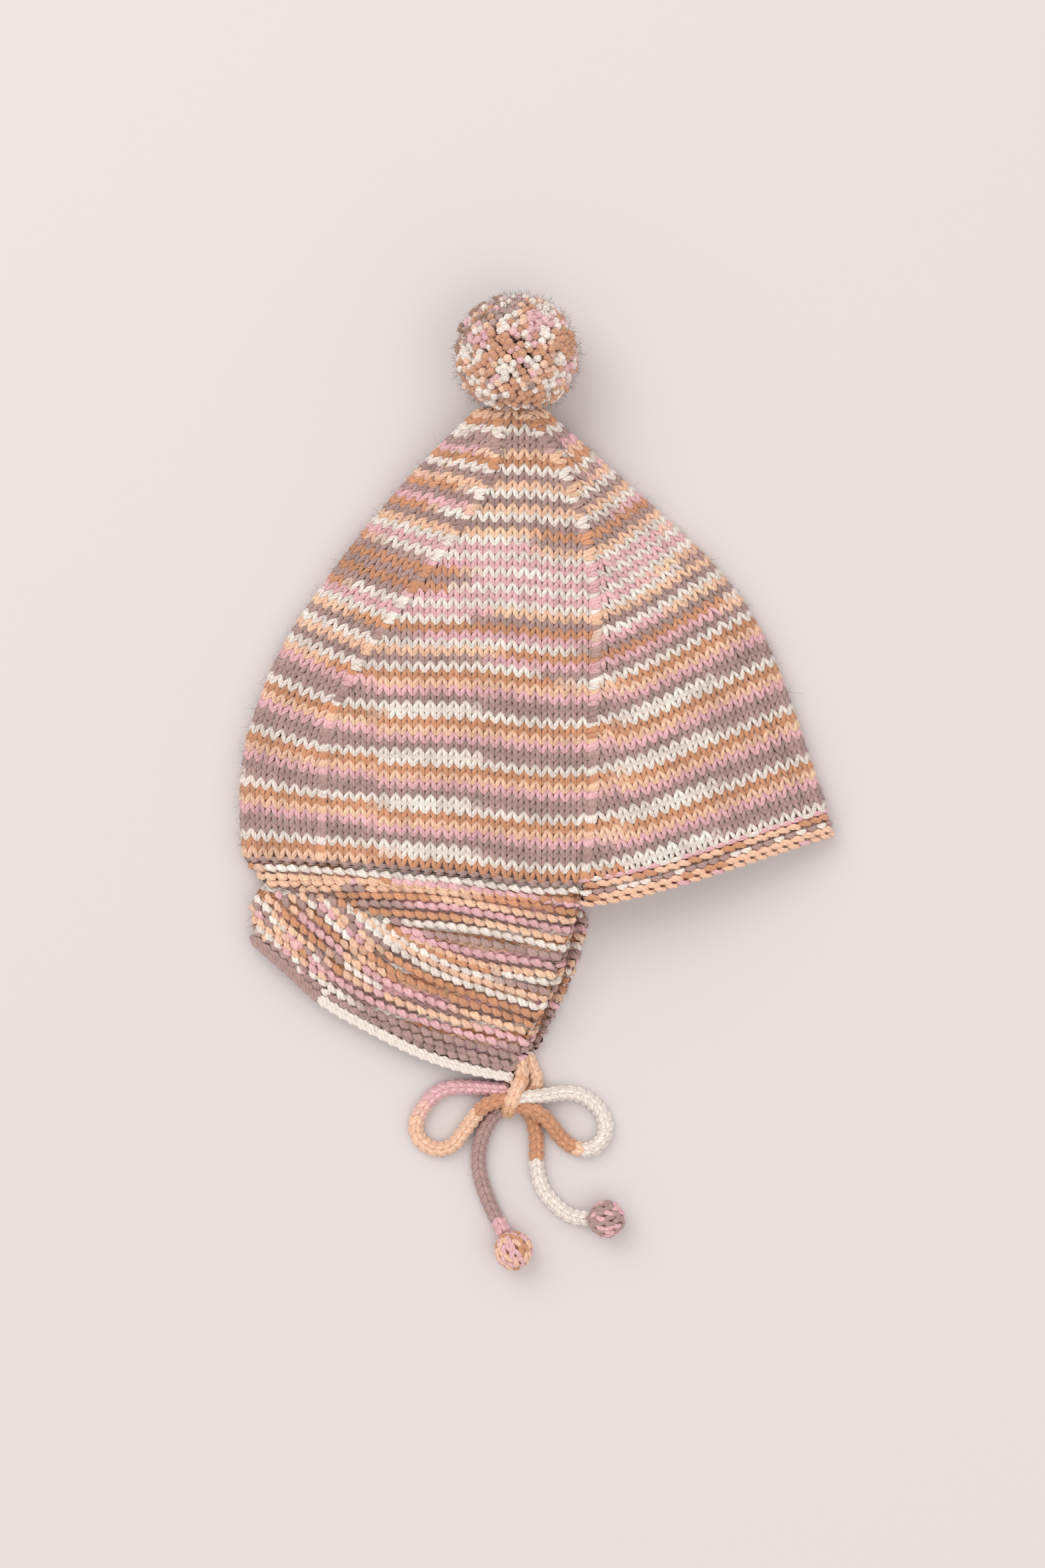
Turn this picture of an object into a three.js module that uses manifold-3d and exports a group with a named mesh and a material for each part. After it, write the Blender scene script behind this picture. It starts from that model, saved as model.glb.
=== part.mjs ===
// A child's pointed hat, hand knitted, lying flat on its side: back fold to the left, brow to the
// right, mouth towards the viewer. Millimetres, +Z up off the table, +Y towards the pompom.
import * as THREE from 'three';
import { mergeVertices } from 'three/addons/utils/BufferGeometryUtils.js';
import Module from 'manifold-3d';

const wasm = await Module();
wasm.setup();

// Crown, measured from the middle of its tip
const crownHeight = 174.5;
const backReach = 102;
const frontReach = 119;
const knitWall = 3.2;

// How the two layers lie on each other
const foldThickness = 9;
const loftThickness = 24;
const tipThickness = 11;
const tipLift = 13;
const tipLiftLength = 62;

// Garter stitch neck flap that wraps from one ear round the nape to the other
const garterWall = 3.8;
const flapDepth = 85.5;
const flapTipThickness = 8.6;
const flapFrontBow = 3;
const farFlapPeek = 7;
const farFlapRaise = 5.5;
const napeDent = 5;
const ridgeCount = 10;
const ridgeHeight = 0.6;

// Edgings
const browDepth = 10;
const browThickness = 4.2;
const neckEdgeWidth = 4.6;
const neckEdgeThickness = 4;

// Pompom
const pompomWidth = 46;
const pompomHeight = 43;
const pompomRise = 23.2;
const lockCount = 58;
const lockRadius = 3.7;
const lockLength = 3.4;
const lockSides = 6;

// Ties
const cordDiameter = 5;
const leftBallDiameter = 14.2;
const rightBallDiameter = 13.6;
const knotLength = 13;
const knotWidth = 8;
const knotThickness = 9;
const pieceGap = 0.3;

// Resolution of the faceted surfaces
const foldSteps = 3;
const sideSteps = 14;
const napeSteps = 10;
const roundSides = 16;
const cordSides = 10;

// Each row of this table is one round of knitting. Across is a share of backReach or frontReach,
// down is a share of crownHeight. The two shaping lines are where the side panels meet the middle one.
const crownRounds = [
  { back: [0.07, -0.02], backLine: [0.03, -0.02], frontLine: [0.02, -0.02], front: [0.06, -0.02] },
  { back: [0.127, 0.0], backLine: [0.024, 0.0], frontLine: [0.059, 0.0], front: [0.107, 0.0] },
  { back: [0.195, 0.036], backLine: [0.03, 0.047], frontLine: [0.11, 0.05], front: [0.166, 0.033] },
  { back: [0.268, 0.076], backLine: [0.04, 0.096], frontLine: [0.156, 0.1], front: [0.228, 0.069] },
  { back: [0.402, 0.156], backLine: [0.116, 0.191], frontLine: [0.219, 0.2], front: [0.348, 0.139] },
  { back: [0.552, 0.258], backLine: [0.254, 0.306], frontLine: [0.256, 0.32], front: [0.488, 0.225] },
  { back: [0.691, 0.366], backLine: [0.405, 0.421], frontLine: [0.274, 0.439], front: [0.625, 0.314] },
  { back: [0.819, 0.477], backLine: [0.549, 0.536], frontLine: [0.266, 0.559], front: [0.743, 0.414] },
  { back: [0.918, 0.599], backLine: [0.652, 0.651], frontLine: [0.255, 0.679], front: [0.831, 0.528] },
  { back: [0.985, 0.727], backLine: [0.679, 0.766], frontLine: [0.253, 0.799], front: [0.897, 0.648] },
  { back: [1.0, 0.839], backLine: [0.686, 0.861], frontLine: [0.24, 0.899], front: [0.948, 0.75] },
  { back: [0.99, 0.951], backLine: [0.692, 0.957], frontLine: [0.221, 0.999], front: [1.0, 0.851] },
];

// The outer edge of the neck from the nape to the tip of the ear flap. Across is a share of
// backReach, down is a share of flapDepth below the back corner of the crown.
const neckLine = [
  { across: 0.978, down: 0.374 },
  { across: 0.87, down: 0.485 },
  { across: 0.704, down: 0.661 },
  { across: 0.535, down: 0.778 },
  { across: 0.337, down: 0.895 },
  { across: 0.164, down: 0.962 },
  { across: 0.005, down: 1.0 },
];

// The ties lie loose on the table, so their routes are points chosen by hand along the cord's
// middle, from the knot outwards. The first two points of each lie inside the knot.
const tieRoutes = {
  bow_loop_left: [
    [-1.0, -254.2, 5.2], [-4.5, -254.0, 4.6], [-8.5, -253.6, 3.6], [-12.5, -253.4, 2.8], [-16.5, -253.2, 2.5],
    [-22.75, -253.4, 2.5], [-26.2, -254.4, 2.5], [-29.2, -256.3, 2.5], [-31.6, -258.9, 2.5],
    [-33.7, -261.9, 2.5], [-35.3, -264.9, 2.5], [-36.0, -268.0, 2.5], [-35.6, -271.0, 2.5],
    [-34.0, -273.6, 2.5], [-31.2, -275.7, 2.5], [-28.2, -276.7, 2.5], [-25.0, -276.5, 2.5],
    [-22.0, -275.1, 2.5], [-20.0, -273.0, 2.5], [-18.2, -270.5, 2.6], [-16.6, -268.2, 3.0],
    [-14.6, -265.4, 4.0], [-12.2, -262.2, 5.4], [-9.6, -259.8, 6.6], [-6.0, -258.2, 7.2], [-1.0, -257.6, 7.0],
  ],
  bow_loop_right: [
    [2.0, -256.9, 7.6], [6.0, -256.8, 7.4], [10.0, -256.5, 6.6], [14.0, -256.1, 5.0], [18.0, -255.6, 3.4],
    [21.8, -255.5, 2.6], [25.2, -256.0, 2.5], [28.4, -257.4, 2.5], [31.2, -259.5, 2.5],
    [33.4, -262.1, 2.5], [35.0, -265.0, 2.5], [35.7, -268.4, 2.5], [35.2, -271.6, 2.5],
    [33.4, -274.4, 2.5], [30.8, -276.4, 2.5], [27.6, -277.0, 2.5], [24.2, -276.2, 2.5],
    [21.2, -274.6, 2.5], [18.8, -272.4, 2.8], [16.8, -269.8, 3.6], [14.9, -267.1, 5.0],
    [12.8, -264.5, 6.4], [10.2, -262.4, 7.4], [6.6, -261.0, 7.6], [2.0, -259.4, 6.6],
  ],
  tie_tail_left: [
    [-0.5, -260.2, 3.2], [-4.0, -261.9, 2.6], [-7.3, -264.7, 2.5], [-9.8, -268.9, 2.5], [-11.4, -273.4, 2.5],
    [-12.3, -277.9, 2.5], [-12.4, -282.2, 2.5], [-11.8, -286.4, 2.5], [-10.6, -290.8, 2.5],
    [-9.0, -295.2, 2.5], [-7.0, -299.8, 2.5], [-4.8, -304.2, 2.9], [-2.4, -308.4, 4.2],
  ],
  tie_tail_right: [
    [3.2, -258.6, 3.0], [5.6, -261.4, 2.6], [7.9, -265.0, 2.5], [9.1, -269.4, 2.5], [9.5, -274.0, 2.5],
    [9.5, -278.6, 2.5], [9.6, -283.2, 2.5], [10.4, -287.8, 2.5], [12.2, -292.2, 2.5],
    [15.0, -296.0, 2.5], [18.4, -299.2, 2.5], [22.2, -301.6, 2.7], [26.0, -302.5, 3.2], [29.3, -302.5, 4.2],
  ],
};

// Short stretches of tie that the knot swallows: from the tip of each ear flap into the knot
const nearRoot = [[0.6, -249.4, 6.6], [2.6, -250.6, 7.0], [3.0, -252.8, 6.8], [1.8, -255.0, 6.0]];
const farRoot = [[6.8, -246.0, 2.6], [8.8, -248.8, 2.5], [9.4, -252.0, 2.5], [7.2, -254.8, 2.6], [2.0, -256.4, 3.4]];
const knotWrap = [[3.4, -249.6, 4.0], [2.4, -252.6, 8.6], [0.6, -257.0, 9.6], [-0.8, -261.0, 7.6], [-1.2, -262.8, 3.6]];

// Lay of one round: the curve that it follows on the table from the back fold to the front fold
function roundCurve(row) {
  const at = ([across, down], reach) => new THREE.Vector3(across * reach, -down * crownHeight, 0);
  const back = at(row.back, -backReach);
  const backLine = at(row.backLine, -backReach);
  const frontLine = at(row.frontLine, frontReach);
  const front = at(row.front, frontReach);
  const middle = backLine.clone().lerp(frontLine, 0.5);
  return new THREE.CatmullRomCurve3([back, backLine, middle, frontLine, front]);
}

const crownEdge = roundCurve(crownRounds.at(-1));
const crownEdgeLength = crownEdge.getLength();

// The share of the crown's edge, from the back fold, where the ear flap ends and the brow begins
const edgeLengths = crownEdge.getLengths();
const frontLineIndex = Math.round(0.75 * (edgeLengths.length - 1));
const browStart = edgeLengths[frontLineIndex] / edgeLengths.at(-1);

const crownCorner = crownEdge.getPointAt(0);
const neckCurve = new THREE.CatmullRomCurve3(
  neckLine.map(({ across, down }) => new THREE.Vector3(-across * backReach, crownCorner.y - down * flapDepth, 0)),
);

// Thickness of the two layers together, at a share of the way round from fold to fold
function loftAt(share, peak) {
  return foldThickness + (peak - foldThickness) * Math.sin(Math.PI * share) ** 0.8;
}

// One station of a folded band. Near and far layers lie flat, and the fold between them is round.
// Inset is the distance from the fold, angle runs from the top of the fold to its underside.
function foldStation(angle, depth) {
  const foldRadius = foldThickness / 2;
  const radius = foldRadius - depth;
  return { inset: foldRadius - radius * Math.cos(angle), height: foldRadius + radius * Math.sin(angle) };
}

// Closed solid between an outer and an inner net of points of the same size
function solidBetween(outer, inner, { ring }) {
  const positions = [];
  const rows = outer.length;
  const stations = outer[0].length;
  const outerStart = 0;
  const innerStart = rows * stations;
  outer.flat().forEach((point) => positions.push(...point));
  inner.flat().forEach((point) => positions.push(...point));
  const faces = [];
  const quad = (a, b, c, d) => faces.push(a, b, c, a, c, d);
  const spans = ring ? stations : stations - 1;
  for (let i = 0; i + 1 < rows; i += 1) {
    for (let j = 0; j < spans; j += 1) {
      const next = (j + 1) % stations;
      const upper = i * stations;
      const lower = upper + stations;
      quad(outerStart + upper + j, outerStart + lower + j, outerStart + lower + next, outerStart + upper + next);
      quad(innerStart + upper + j, innerStart + upper + next, innerStart + lower + next, innerStart + lower + j);
    }
    if (!ring) {
      for (const [j, turned] of [[0, false], [stations - 1, true]]) {
        const upper = i * stations + j;
        const lower = upper + stations;
        if (turned) quad(outerStart + upper, outerStart + lower, innerStart + lower, innerStart + upper);
        else quad(outerStart + upper, innerStart + upper, innerStart + lower, outerStart + lower);
      }
    }
  }
  const last = (rows - 1) * stations;
  for (let j = 0; j < spans; j += 1) {
    const next = (j + 1) % stations;
    quad(outerStart + last + j, innerStart + last + j, innerStart + last + next, outerStart + last + next);
    if (!ring) quad(outerStart + j, outerStart + next, innerStart + next, innerStart + j);
  }
  if (ring) {
    for (const [start, net, turned] of [[outerStart, outer, false], [innerStart, inner, true]]) {
      const centre = positions.length / 3;
      const sum = net[0].reduce((total, point) => total.map((value, axis) => value + point[axis]), [0, 0, 0]);
      positions.push(...sum.map((value) => value / stations));
      for (let j = 0; j < stations; j += 1) {
        const next = (j + 1) % stations;
        if (turned) faces.push(centre, start + next, start + j);
        else faces.push(centre, start + j, start + next);
      }
    }
  }
  const geometry = new THREE.BufferGeometry();
  geometry.setAttribute('position', new THREE.Float32BufferAttribute(positions, 3));
  geometry.setIndex(faces);
  return geometry;
}

// Crown: a hollow bag of plain knitting, closed at the tip and open at the mouth
function crownGeometry() {
  const liftAt = (down) => tipLift * Math.max(0, 1 - down / tipLiftLength) ** 2;
  const net = (depth) => crownRounds.map((row, i) => {
    const curve = roundCurve(row);
    const length = curve.getLength();
    const down = (row.backLine[1] - crownRounds[0].backLine[1]) * crownHeight;
    const peak = tipThickness + (loftThickness - tipThickness) * Math.min(1, down / tipLiftLength);
    const sunk = i === 0 ? depth : 0;
    const lift = liftAt(down + sunk);
    const at = (inset, height) => {
      const point = curve.getPointAt(Math.min(1, inset / length));
      return [point.x, point.y - sunk, height + lift];
    };
    const stations = [];
    for (let k = -foldSteps; k <= foldSteps; k += 1) {
      const { inset, height } = foldStation((k / foldSteps) * (Math.PI / 2), depth);
      stations.push([inset, height, false]);
    }
    const flat = length - foldThickness;
    for (let k = 1; k < sideSteps; k += 1) {
      const inset = foldThickness / 2 + (flat * k) / sideSteps;
      stations.push([inset, loftAt(inset / length, peak) - depth, false]);
    }
    for (let k = foldSteps; k >= -foldSteps; k -= 1) {
      const { inset, height } = foldStation((k / foldSteps) * (Math.PI / 2), depth);
      stations.push([length - inset, height, true]);
    }
    for (let k = sideSteps - 1; k > 0; k -= 1) {
      stations.push([foldThickness / 2 + (flat * k) / sideSteps, depth, false]);
    }
    return stations.map(([inset, height]) => at(inset, height));
  });
  return solidBetween(net(0), net(knitWall), { ring: true });
}

// A band with two layers and one fold, open at its other end. Rows run down the band.
function foldedBand(rows, layout) {
  const net = (side) => rows.map((row) => layout(row, side));
  return solidBetween(net('outer'), net('inner'), { ring: false });
}

// Point at a share of the way from the nape to the front of the flap, at a share of its depth
function flapPoint(share, depthShare, far) {
  const upper = crownEdge.getPointAt(share * browStart);
  const upperTangent = crownEdge.getTangentAt(share * browStart);
  const lower = neckCurve.getPointAt(share);
  const lowerTangent = neckCurve.getTangentAt(share);
  upper.x += upperTangent.y * pieceGap;
  upper.y -= upperTangent.x * pieceGap;
  lower.x -= lowerTangent.y * (neckEdgeWidth + pieceGap);
  lower.y += lowerTangent.x * (neckEdgeWidth + pieceGap);
  const point = upper.lerp(lower, depthShare);
  const dent = Math.exp(-(((depthShare - 0.3) / 0.16) ** 2)) * (1 - share) ** 6;
  point.x += napeDent * dent;
  point.x += flapFrontBow * Math.sin(Math.PI * depthShare) ** 0.7 * share ** 4;
  if (far) shiftFar(point, share, depthShare);
  return point;
}

// The far ear flap lies a little further forward than the near one, below the brow
function shiftFar(point, share, depthShare) {
  const belowBrow = (browDepth + pieceGap) / (flapDepth - 2 * browDepth);
  const peek = THREE.MathUtils.smoothstep(depthShare, belowBrow, belowBrow + 0.08);
  point.x += farFlapPeek * peek * share ** 2;
  point.y += farFlapRaise * depthShare ** 2 * share ** 4;
}

function flapLoft(share, depthShare) {
  const atCrown = loftAt(share * browStart, loftThickness);
  const atNeck = THREE.MathUtils.lerp(foldThickness, flapTipThickness, share);
  return THREE.MathUtils.lerp(atCrown, atNeck, depthShare);
}

// Stations of the neck pieces: far layer from the front to the fold, round it, and back on top
function napeStations(place, outerDepth, innerDepth, side) {
  const depth = side === 'outer' ? outerDepth : innerDepth;
  const radius = foldThickness / 2;
  const length = neckCurve.getLength();
  const shareAt = (k) => radius / length + (1 - radius / length) * (k / napeSteps);
  const stations = [];
  for (let k = napeSteps; k > 0; k -= 1) stations.push(place(shareAt(k), depth, depth, true));
  for (let k = -foldSteps; k <= foldSteps; k += 1) {
    const { inset, height } = foldStation((k / foldSteps) * (Math.PI / 2), depth);
    stations.push(place(inset / length, height, depth, k < 0));
  }
  for (let k = 1; k <= napeSteps; k += 1) stations.push(place(shareAt(k), null, depth, false));
  return stations;
}

function neckFlapGeometry() {
  const rowCount = 2 * ridgeCount;
  const rows = Array.from({ length: rowCount + 1 }, (_, i) => i / rowCount);
  return foldedBand(rows, (depthShare, side) => {
    const valley = Math.round(depthShare * rowCount) % 2 === 1 && side === 'outer' ? ridgeHeight : 0;
    const place = (share, height, depth, far) => {
      const point = flapPoint(share, depthShare, far);
      const top = flapLoft(share, depthShare) - depth - valley;
      return [point.x, point.y, height === null ? top : height];
    };
    return napeStations(place, 0, garterWall, side);
  });
}

// Chained bind-off along the neck, a round bead of yarn on the flap's lower edge
function neckEdgeGeometry() {
  const bead = [0.45, 0.9, 1, 0.9, 0.45];
  const rows = bead.map((fullness, i) => ({ fullness, across: i / (bead.length - 1) }));
  return foldedBand(rows, ({ fullness, across }, side) => {
    const middle = neckEdgeThickness / 2;
    const half = (neckEdgeThickness / 2) * fullness;
    const place = (share, height, depth, far) => {
      const point = neckCurve.getPointAt(share);
      const tangent = neckCurve.getTangentAt(share);
      const offset = neckEdgeWidth * (1 - across);
      point.x -= tangent.y * offset;
      point.y += tangent.x * offset;
      if (far) shiftFar(point, share, 1);
      return [point.x, point.y, height === null ? flapLoft(share, 1) - depth : height];
    };
    return napeStations(place, middle - half, middle + half, side);
  });
}

// Edging along the brow, from one ear flap round the front fold to the other
function browEdgeGeometry() {
  const length = crownEdgeLength;
  const start = browStart * length + pieceGap;
  const end = length - foldThickness / 2;
  const rows = [0, 0.34, 0.67, 1];
  return foldedBand(rows, (across, side) => {
    const depth = side === 'outer' ? 0 : browThickness;
    const at = (inset, height) => {
      const share = (length - inset) / length;
      const point = crownEdge.getPointAt(Math.max(0, Math.min(1, share)));
      const tangent = crownEdge.getTangentAt(Math.max(0, Math.min(1, share)));
      const drop = pieceGap + across * (browDepth - pieceGap);
      return [point.x + tangent.y * drop, point.y - tangent.x * drop, height];
    };
    const stations = [];
    for (let k = 0; k < sideSteps; k += 1) {
      const place = start + ((end - start) * k) / sideSteps;
      stations.push(at(length - place, loftAt(place / length, loftThickness) - depth));
    }
    for (let k = foldSteps; k >= -foldSteps; k -= 1) {
      const { inset, height } = foldStation((k / foldSteps) * (Math.PI / 2), depth);
      stations.push(at(inset, height));
    }
    for (let k = sideSteps - 1; k >= 0; k -= 1) {
      const place = start + ((end - start) * k) / sideSteps;
      stations.push(at(length - place, depth));
    }
    return stations;
  });
}

// Helpers that turn a geometry into a solid for joins and cuts, and back
function solidOf(geometry) {
  const bare = geometry.clone();
  bare.deleteAttribute('normal');
  bare.deleteAttribute('uv');
  const merged = mergeVertices(bare, 1e-4);
  return new wasm.Manifold(new wasm.Mesh({
    numProp: 3,
    vertProperties: new Float32Array(merged.attributes.position.array),
    triVerts: new Uint32Array(merged.index.array),
  }));
}

function geometryOf(solid) {
  const mesh = solid.getMesh();
  const geometry = new THREE.BufferGeometry();
  geometry.setAttribute('position', new THREE.BufferAttribute(new Float32Array(mesh.vertProperties), 3));
  geometry.setIndex(new THREE.BufferAttribute(new Uint32Array(mesh.triVerts), 1));
  return geometry;
}

// Cuts a solid back until it clears its neighbours by the gap, on all six sides
function cutClear(solid, neighbours) {
  const sides = [[1, 0, 0], [-1, 0, 0], [0, 1, 0], [0, -1, 0], [0, 0, 1], [0, 0, -1]];
  let cleared = solid;
  for (const neighbour of neighbours) {
    for (const side of sides) {
      const moved = neighbour.clone().translate(...side.map((value) => value * pieceGap));
      cleared = cleared.subtract(solidOf(moved));
    }
  }
  return cleared;
}

// Round cord along a route of points, from one share of its length to another
function cordGeometry(points, from, to) {
  const whole = new THREE.CatmullRomCurve3(points.map((point) => new THREE.Vector3(...point)));
  const length = whole.getLength();
  const steps = Math.max(3, Math.round(((to - from) * length) / (2 * cordDiameter)) * 2);
  const route = Array.from({ length: steps + 1 }, (_, i) => whole.getPointAt(from + ((to - from) * i) / steps));
  const section = new THREE.Shape();
  section.absarc(0, 0, cordDiameter / 2, 0, 2 * Math.PI);
  return new THREE.ExtrudeGeometry(section, {
    steps,
    curveSegments: cordSides / 2,
    extrudePath: new THREE.CatmullRomCurve3(route),
  });
}

// Length of each strand that is part of the knot, at its ends on the knot
const knotRoot = 7;

function strandEnds(name) {
  const route = tieRoutes[name];
  const length = new THREE.CatmullRomCurve3(route.map((point) => new THREE.Vector3(...point))).getLength();
  const looped = name.startsWith('bow_loop');
  return { route, from: knotRoot / length, to: looped ? 1 - knotRoot / length : 1, gap: pieceGap / length, looped };
}

function strandGeometry(name) {
  const { route, from, to, gap, looped } = strandEnds(name);
  return cordGeometry(route, from + gap, looped ? to - gap : to);
}

// Bow knot: the crossed strands squeezed into one lump, with the turn of cord that holds them
function knotGeometry() {
  const core = new THREE.SphereGeometry(0.5, roundSides, roundSides / 2);
  core.rotateX(Math.PI / 2);
  core.scale(knotWidth, knotLength, knotThickness);
  core.translate(0.8, -256.4, knotThickness / 2);
  let knot = solidOf(core);
  for (const strand of [knotWrap, nearRoot, farRoot]) {
    knot = knot.add(solidOf(cordGeometry(strand, 0, 1)));
  }
  for (const name of Object.keys(tieRoutes)) {
    const { route, from, to, looped } = strandEnds(name);
    knot = knot.add(solidOf(cordGeometry(route, 0, from)));
    if (looped) knot = knot.add(solidOf(cordGeometry(route, to, 1)));
  }
  const strands = Object.keys(tieRoutes).map((name) => strandGeometry(name));
  const neighbours = [neckFlapGeometry(), neckEdgeGeometry(), ...strands];
  return geometryOf(cutClear(knot, neighbours));
}

// Knitted ball that ends each tie, slightly flattened where it lies
function ballGeometry(name, diameter) {
  const [before, end] = tieRoutes[name].slice(-2).map((point) => new THREE.Vector3(...point));
  const heading = end.clone().sub(before).setZ(0).normalize();
  const rise = diameter / 2 - end.z;
  const reach = Math.sqrt((diameter / 2 + pieceGap) ** 2 - rise ** 2);
  const profile = [];
  for (let k = 0; k <= roundSides / 2; k += 1) {
    const angle = (k / (roundSides / 2) - 0.5) * Math.PI;
    profile.push(new THREE.Vector2((diameter / 2) * Math.cos(angle), (diameter / 2) * Math.sin(angle)));
  }
  profile[0].x = 0;
  profile.at(-1).x = 0;
  const ball = new THREE.LatheGeometry(profile, roundSides);
  ball.rotateX(Math.PI / 2);
  ball.translate(end.x + heading.x * reach, end.y + heading.y * reach, diameter / 2);
  return ball;
}

// Pompom: a core with blunt locks of cut yarn all round, trimmed flat where it sits on the tip
function pompomGeometry() {
  const coreShare = 1 - lockLength / (pompomWidth / 2);
  const core = new THREE.IcosahedronGeometry(pompomWidth / 2, 2);
  core.scale(coreShare, coreShare, coreShare);
  let pompom = solidOf(core);
  const profile = [[0, -lockLength], [1, -lockLength], [1, 0.5 * lockLength], [0, lockLength]];
  const points = profile.map(([width, along]) => new THREE.Vector2(width * lockRadius, along));
  const goldenAngle = Math.PI * (3 - Math.sqrt(5));
  for (let i = 0; i < lockCount; i += 1) {
    const polar = 1 - (2 * (i + 0.5)) / lockCount;
    const ring = Math.sqrt(1 - polar * polar);
    const turn = i * goldenAngle;
    const outward = new THREE.Vector3(ring * Math.cos(turn), polar, ring * Math.sin(turn));
    const lock = new THREE.LatheGeometry(points, lockSides);
    lock.applyQuaternion(new THREE.Quaternion().setFromUnitVectors(new THREE.Vector3(0, 1, 0), outward));
    const root = (pompomWidth / 2) * coreShare;
    lock.translate(outward.x * root, outward.y * root, outward.z * root);
    pompom = pompom.add(solidOf(lock));
  }
  const geometry = geometryOf(pompom);
  geometry.scale(1, pompomHeight / pompomWidth, pompomHeight / pompomWidth);
  geometry.computeBoundingBox();
  geometry.translate(0, pompomRise, -geometry.boundingBox.min.z);
  const seat = -crownRounds[0].back[1] * crownHeight + pieceGap;
  const trim = new THREE.BoxGeometry(2 * pompomWidth, pompomWidth, 4 * pompomWidth);
  trim.translate(0, seat - pompomWidth / 2, 0);
  return geometryOf(solidOf(geometry).subtract(solidOf(trim)));
}

function yarn(colour) {
  return new THREE.MeshStandardMaterial({ color: colour, roughness: 0.95, metalness: 0 });
}

const pieces = {
  crown: [crownGeometry(), yarn(0xd9b8a4)],
  brow_edge: [browEdgeGeometry(), yarn(0xe7bd98)],
  neck_flap: [neckFlapGeometry(), yarn(0xd3ab98)],
  neck_edge: [neckEdgeGeometry(), yarn(0xeee3d6)],
  pompom: [pompomGeometry(), yarn(0xe0b79c)],
  bow_knot: [knotGeometry(), yarn(0xd9a983)],
  bow_loop_left: [strandGeometry('bow_loop_left'), yarn(0xe6b7bd)],
  bow_loop_right: [strandGeometry('bow_loop_right'), yarn(0xece2d6)],
  tie_tail_left: [strandGeometry('tie_tail_left'), yarn(0xa88f8d)],
  tie_tail_right: [strandGeometry('tie_tail_right'), yarn(0xd09a76)],
  end_ball_left: [ballGeometry('tie_tail_left', leftBallDiameter), yarn(0xe3b594)],
  end_ball_right: [ballGeometry('tie_tail_right', rightBallDiameter), yarn(0xa98e92)],
};

// The origin is the middle of what the hat's body covers on the table, without its ties
const bodyBox = new THREE.Box3();
const hat = new THREE.Group();
for (const [name, [geometry, material]] of Object.entries(pieces)) {
  const mesh = new THREE.Mesh(geometry, material);
  mesh.name = name;
  hat.add(mesh);
  const onTie = /^(bow|tie|end)_/.test(name);
  if (!onTie) bodyBox.union(new THREE.Box3().setFromObject(mesh));
}
const middle = bodyBox.getCenter(new THREE.Vector3());
hat.position.set(-middle.x, -middle.y, -bodyBox.min.z);
hat.updateMatrixWorld(true);

export default hat;
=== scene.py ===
# A child's pointed knit hat with a pompom, lying flat on its side, its ties in a bow.
import math

import bpy
import numpy as np
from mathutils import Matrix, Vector
from mathutils.bvhtree import BVHTree


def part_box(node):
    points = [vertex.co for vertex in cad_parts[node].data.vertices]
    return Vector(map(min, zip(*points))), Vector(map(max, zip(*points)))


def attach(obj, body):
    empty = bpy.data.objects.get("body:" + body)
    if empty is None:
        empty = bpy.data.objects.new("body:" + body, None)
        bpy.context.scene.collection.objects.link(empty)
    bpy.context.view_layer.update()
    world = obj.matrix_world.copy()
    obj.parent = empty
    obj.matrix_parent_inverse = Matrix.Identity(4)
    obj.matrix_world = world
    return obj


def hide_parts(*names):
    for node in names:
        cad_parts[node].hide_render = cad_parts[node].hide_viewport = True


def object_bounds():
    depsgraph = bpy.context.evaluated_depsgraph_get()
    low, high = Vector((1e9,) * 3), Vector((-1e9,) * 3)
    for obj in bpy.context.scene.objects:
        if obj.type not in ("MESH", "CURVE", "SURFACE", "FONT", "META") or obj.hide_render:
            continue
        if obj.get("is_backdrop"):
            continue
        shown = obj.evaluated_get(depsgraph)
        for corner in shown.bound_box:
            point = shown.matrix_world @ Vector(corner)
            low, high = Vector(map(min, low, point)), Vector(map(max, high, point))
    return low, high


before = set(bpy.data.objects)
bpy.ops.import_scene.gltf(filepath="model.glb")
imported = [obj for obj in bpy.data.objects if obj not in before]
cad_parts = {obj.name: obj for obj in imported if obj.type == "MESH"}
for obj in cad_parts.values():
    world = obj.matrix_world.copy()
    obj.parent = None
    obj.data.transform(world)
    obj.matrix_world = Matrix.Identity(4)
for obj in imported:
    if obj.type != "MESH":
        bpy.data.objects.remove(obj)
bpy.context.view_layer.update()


# Yarn. A soft plied wool, 2 mm thick, hand dyed in five colours that follow each other along the
# strand. Knitted wool has no gloss: light sinks in between the fibres, and a pale sheen of loose
# fibre ends shows where the surface turns away.
def linear(hex_colour):
    values = [int(hex_colour[i : i + 2], 16) / 255 for i in (1, 3, 5)]
    return [v / 12.92 if v <= 0.04045 else ((v + 0.055) / 1.055) ** 2.4 for v in values] + [1.0]


def add_node(tree, kind, settings=(), links=()):
    node = tree.nodes.new(kind)
    for key, value in dict(settings).items():
        if isinstance(key, str) and hasattr(node, key):
            setattr(node, key, value)
        else:
            node.inputs[key].default_value = value
    for key, source in dict(links).items():
        tree.links.new(source, node.inputs[key])
    return node


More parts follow.
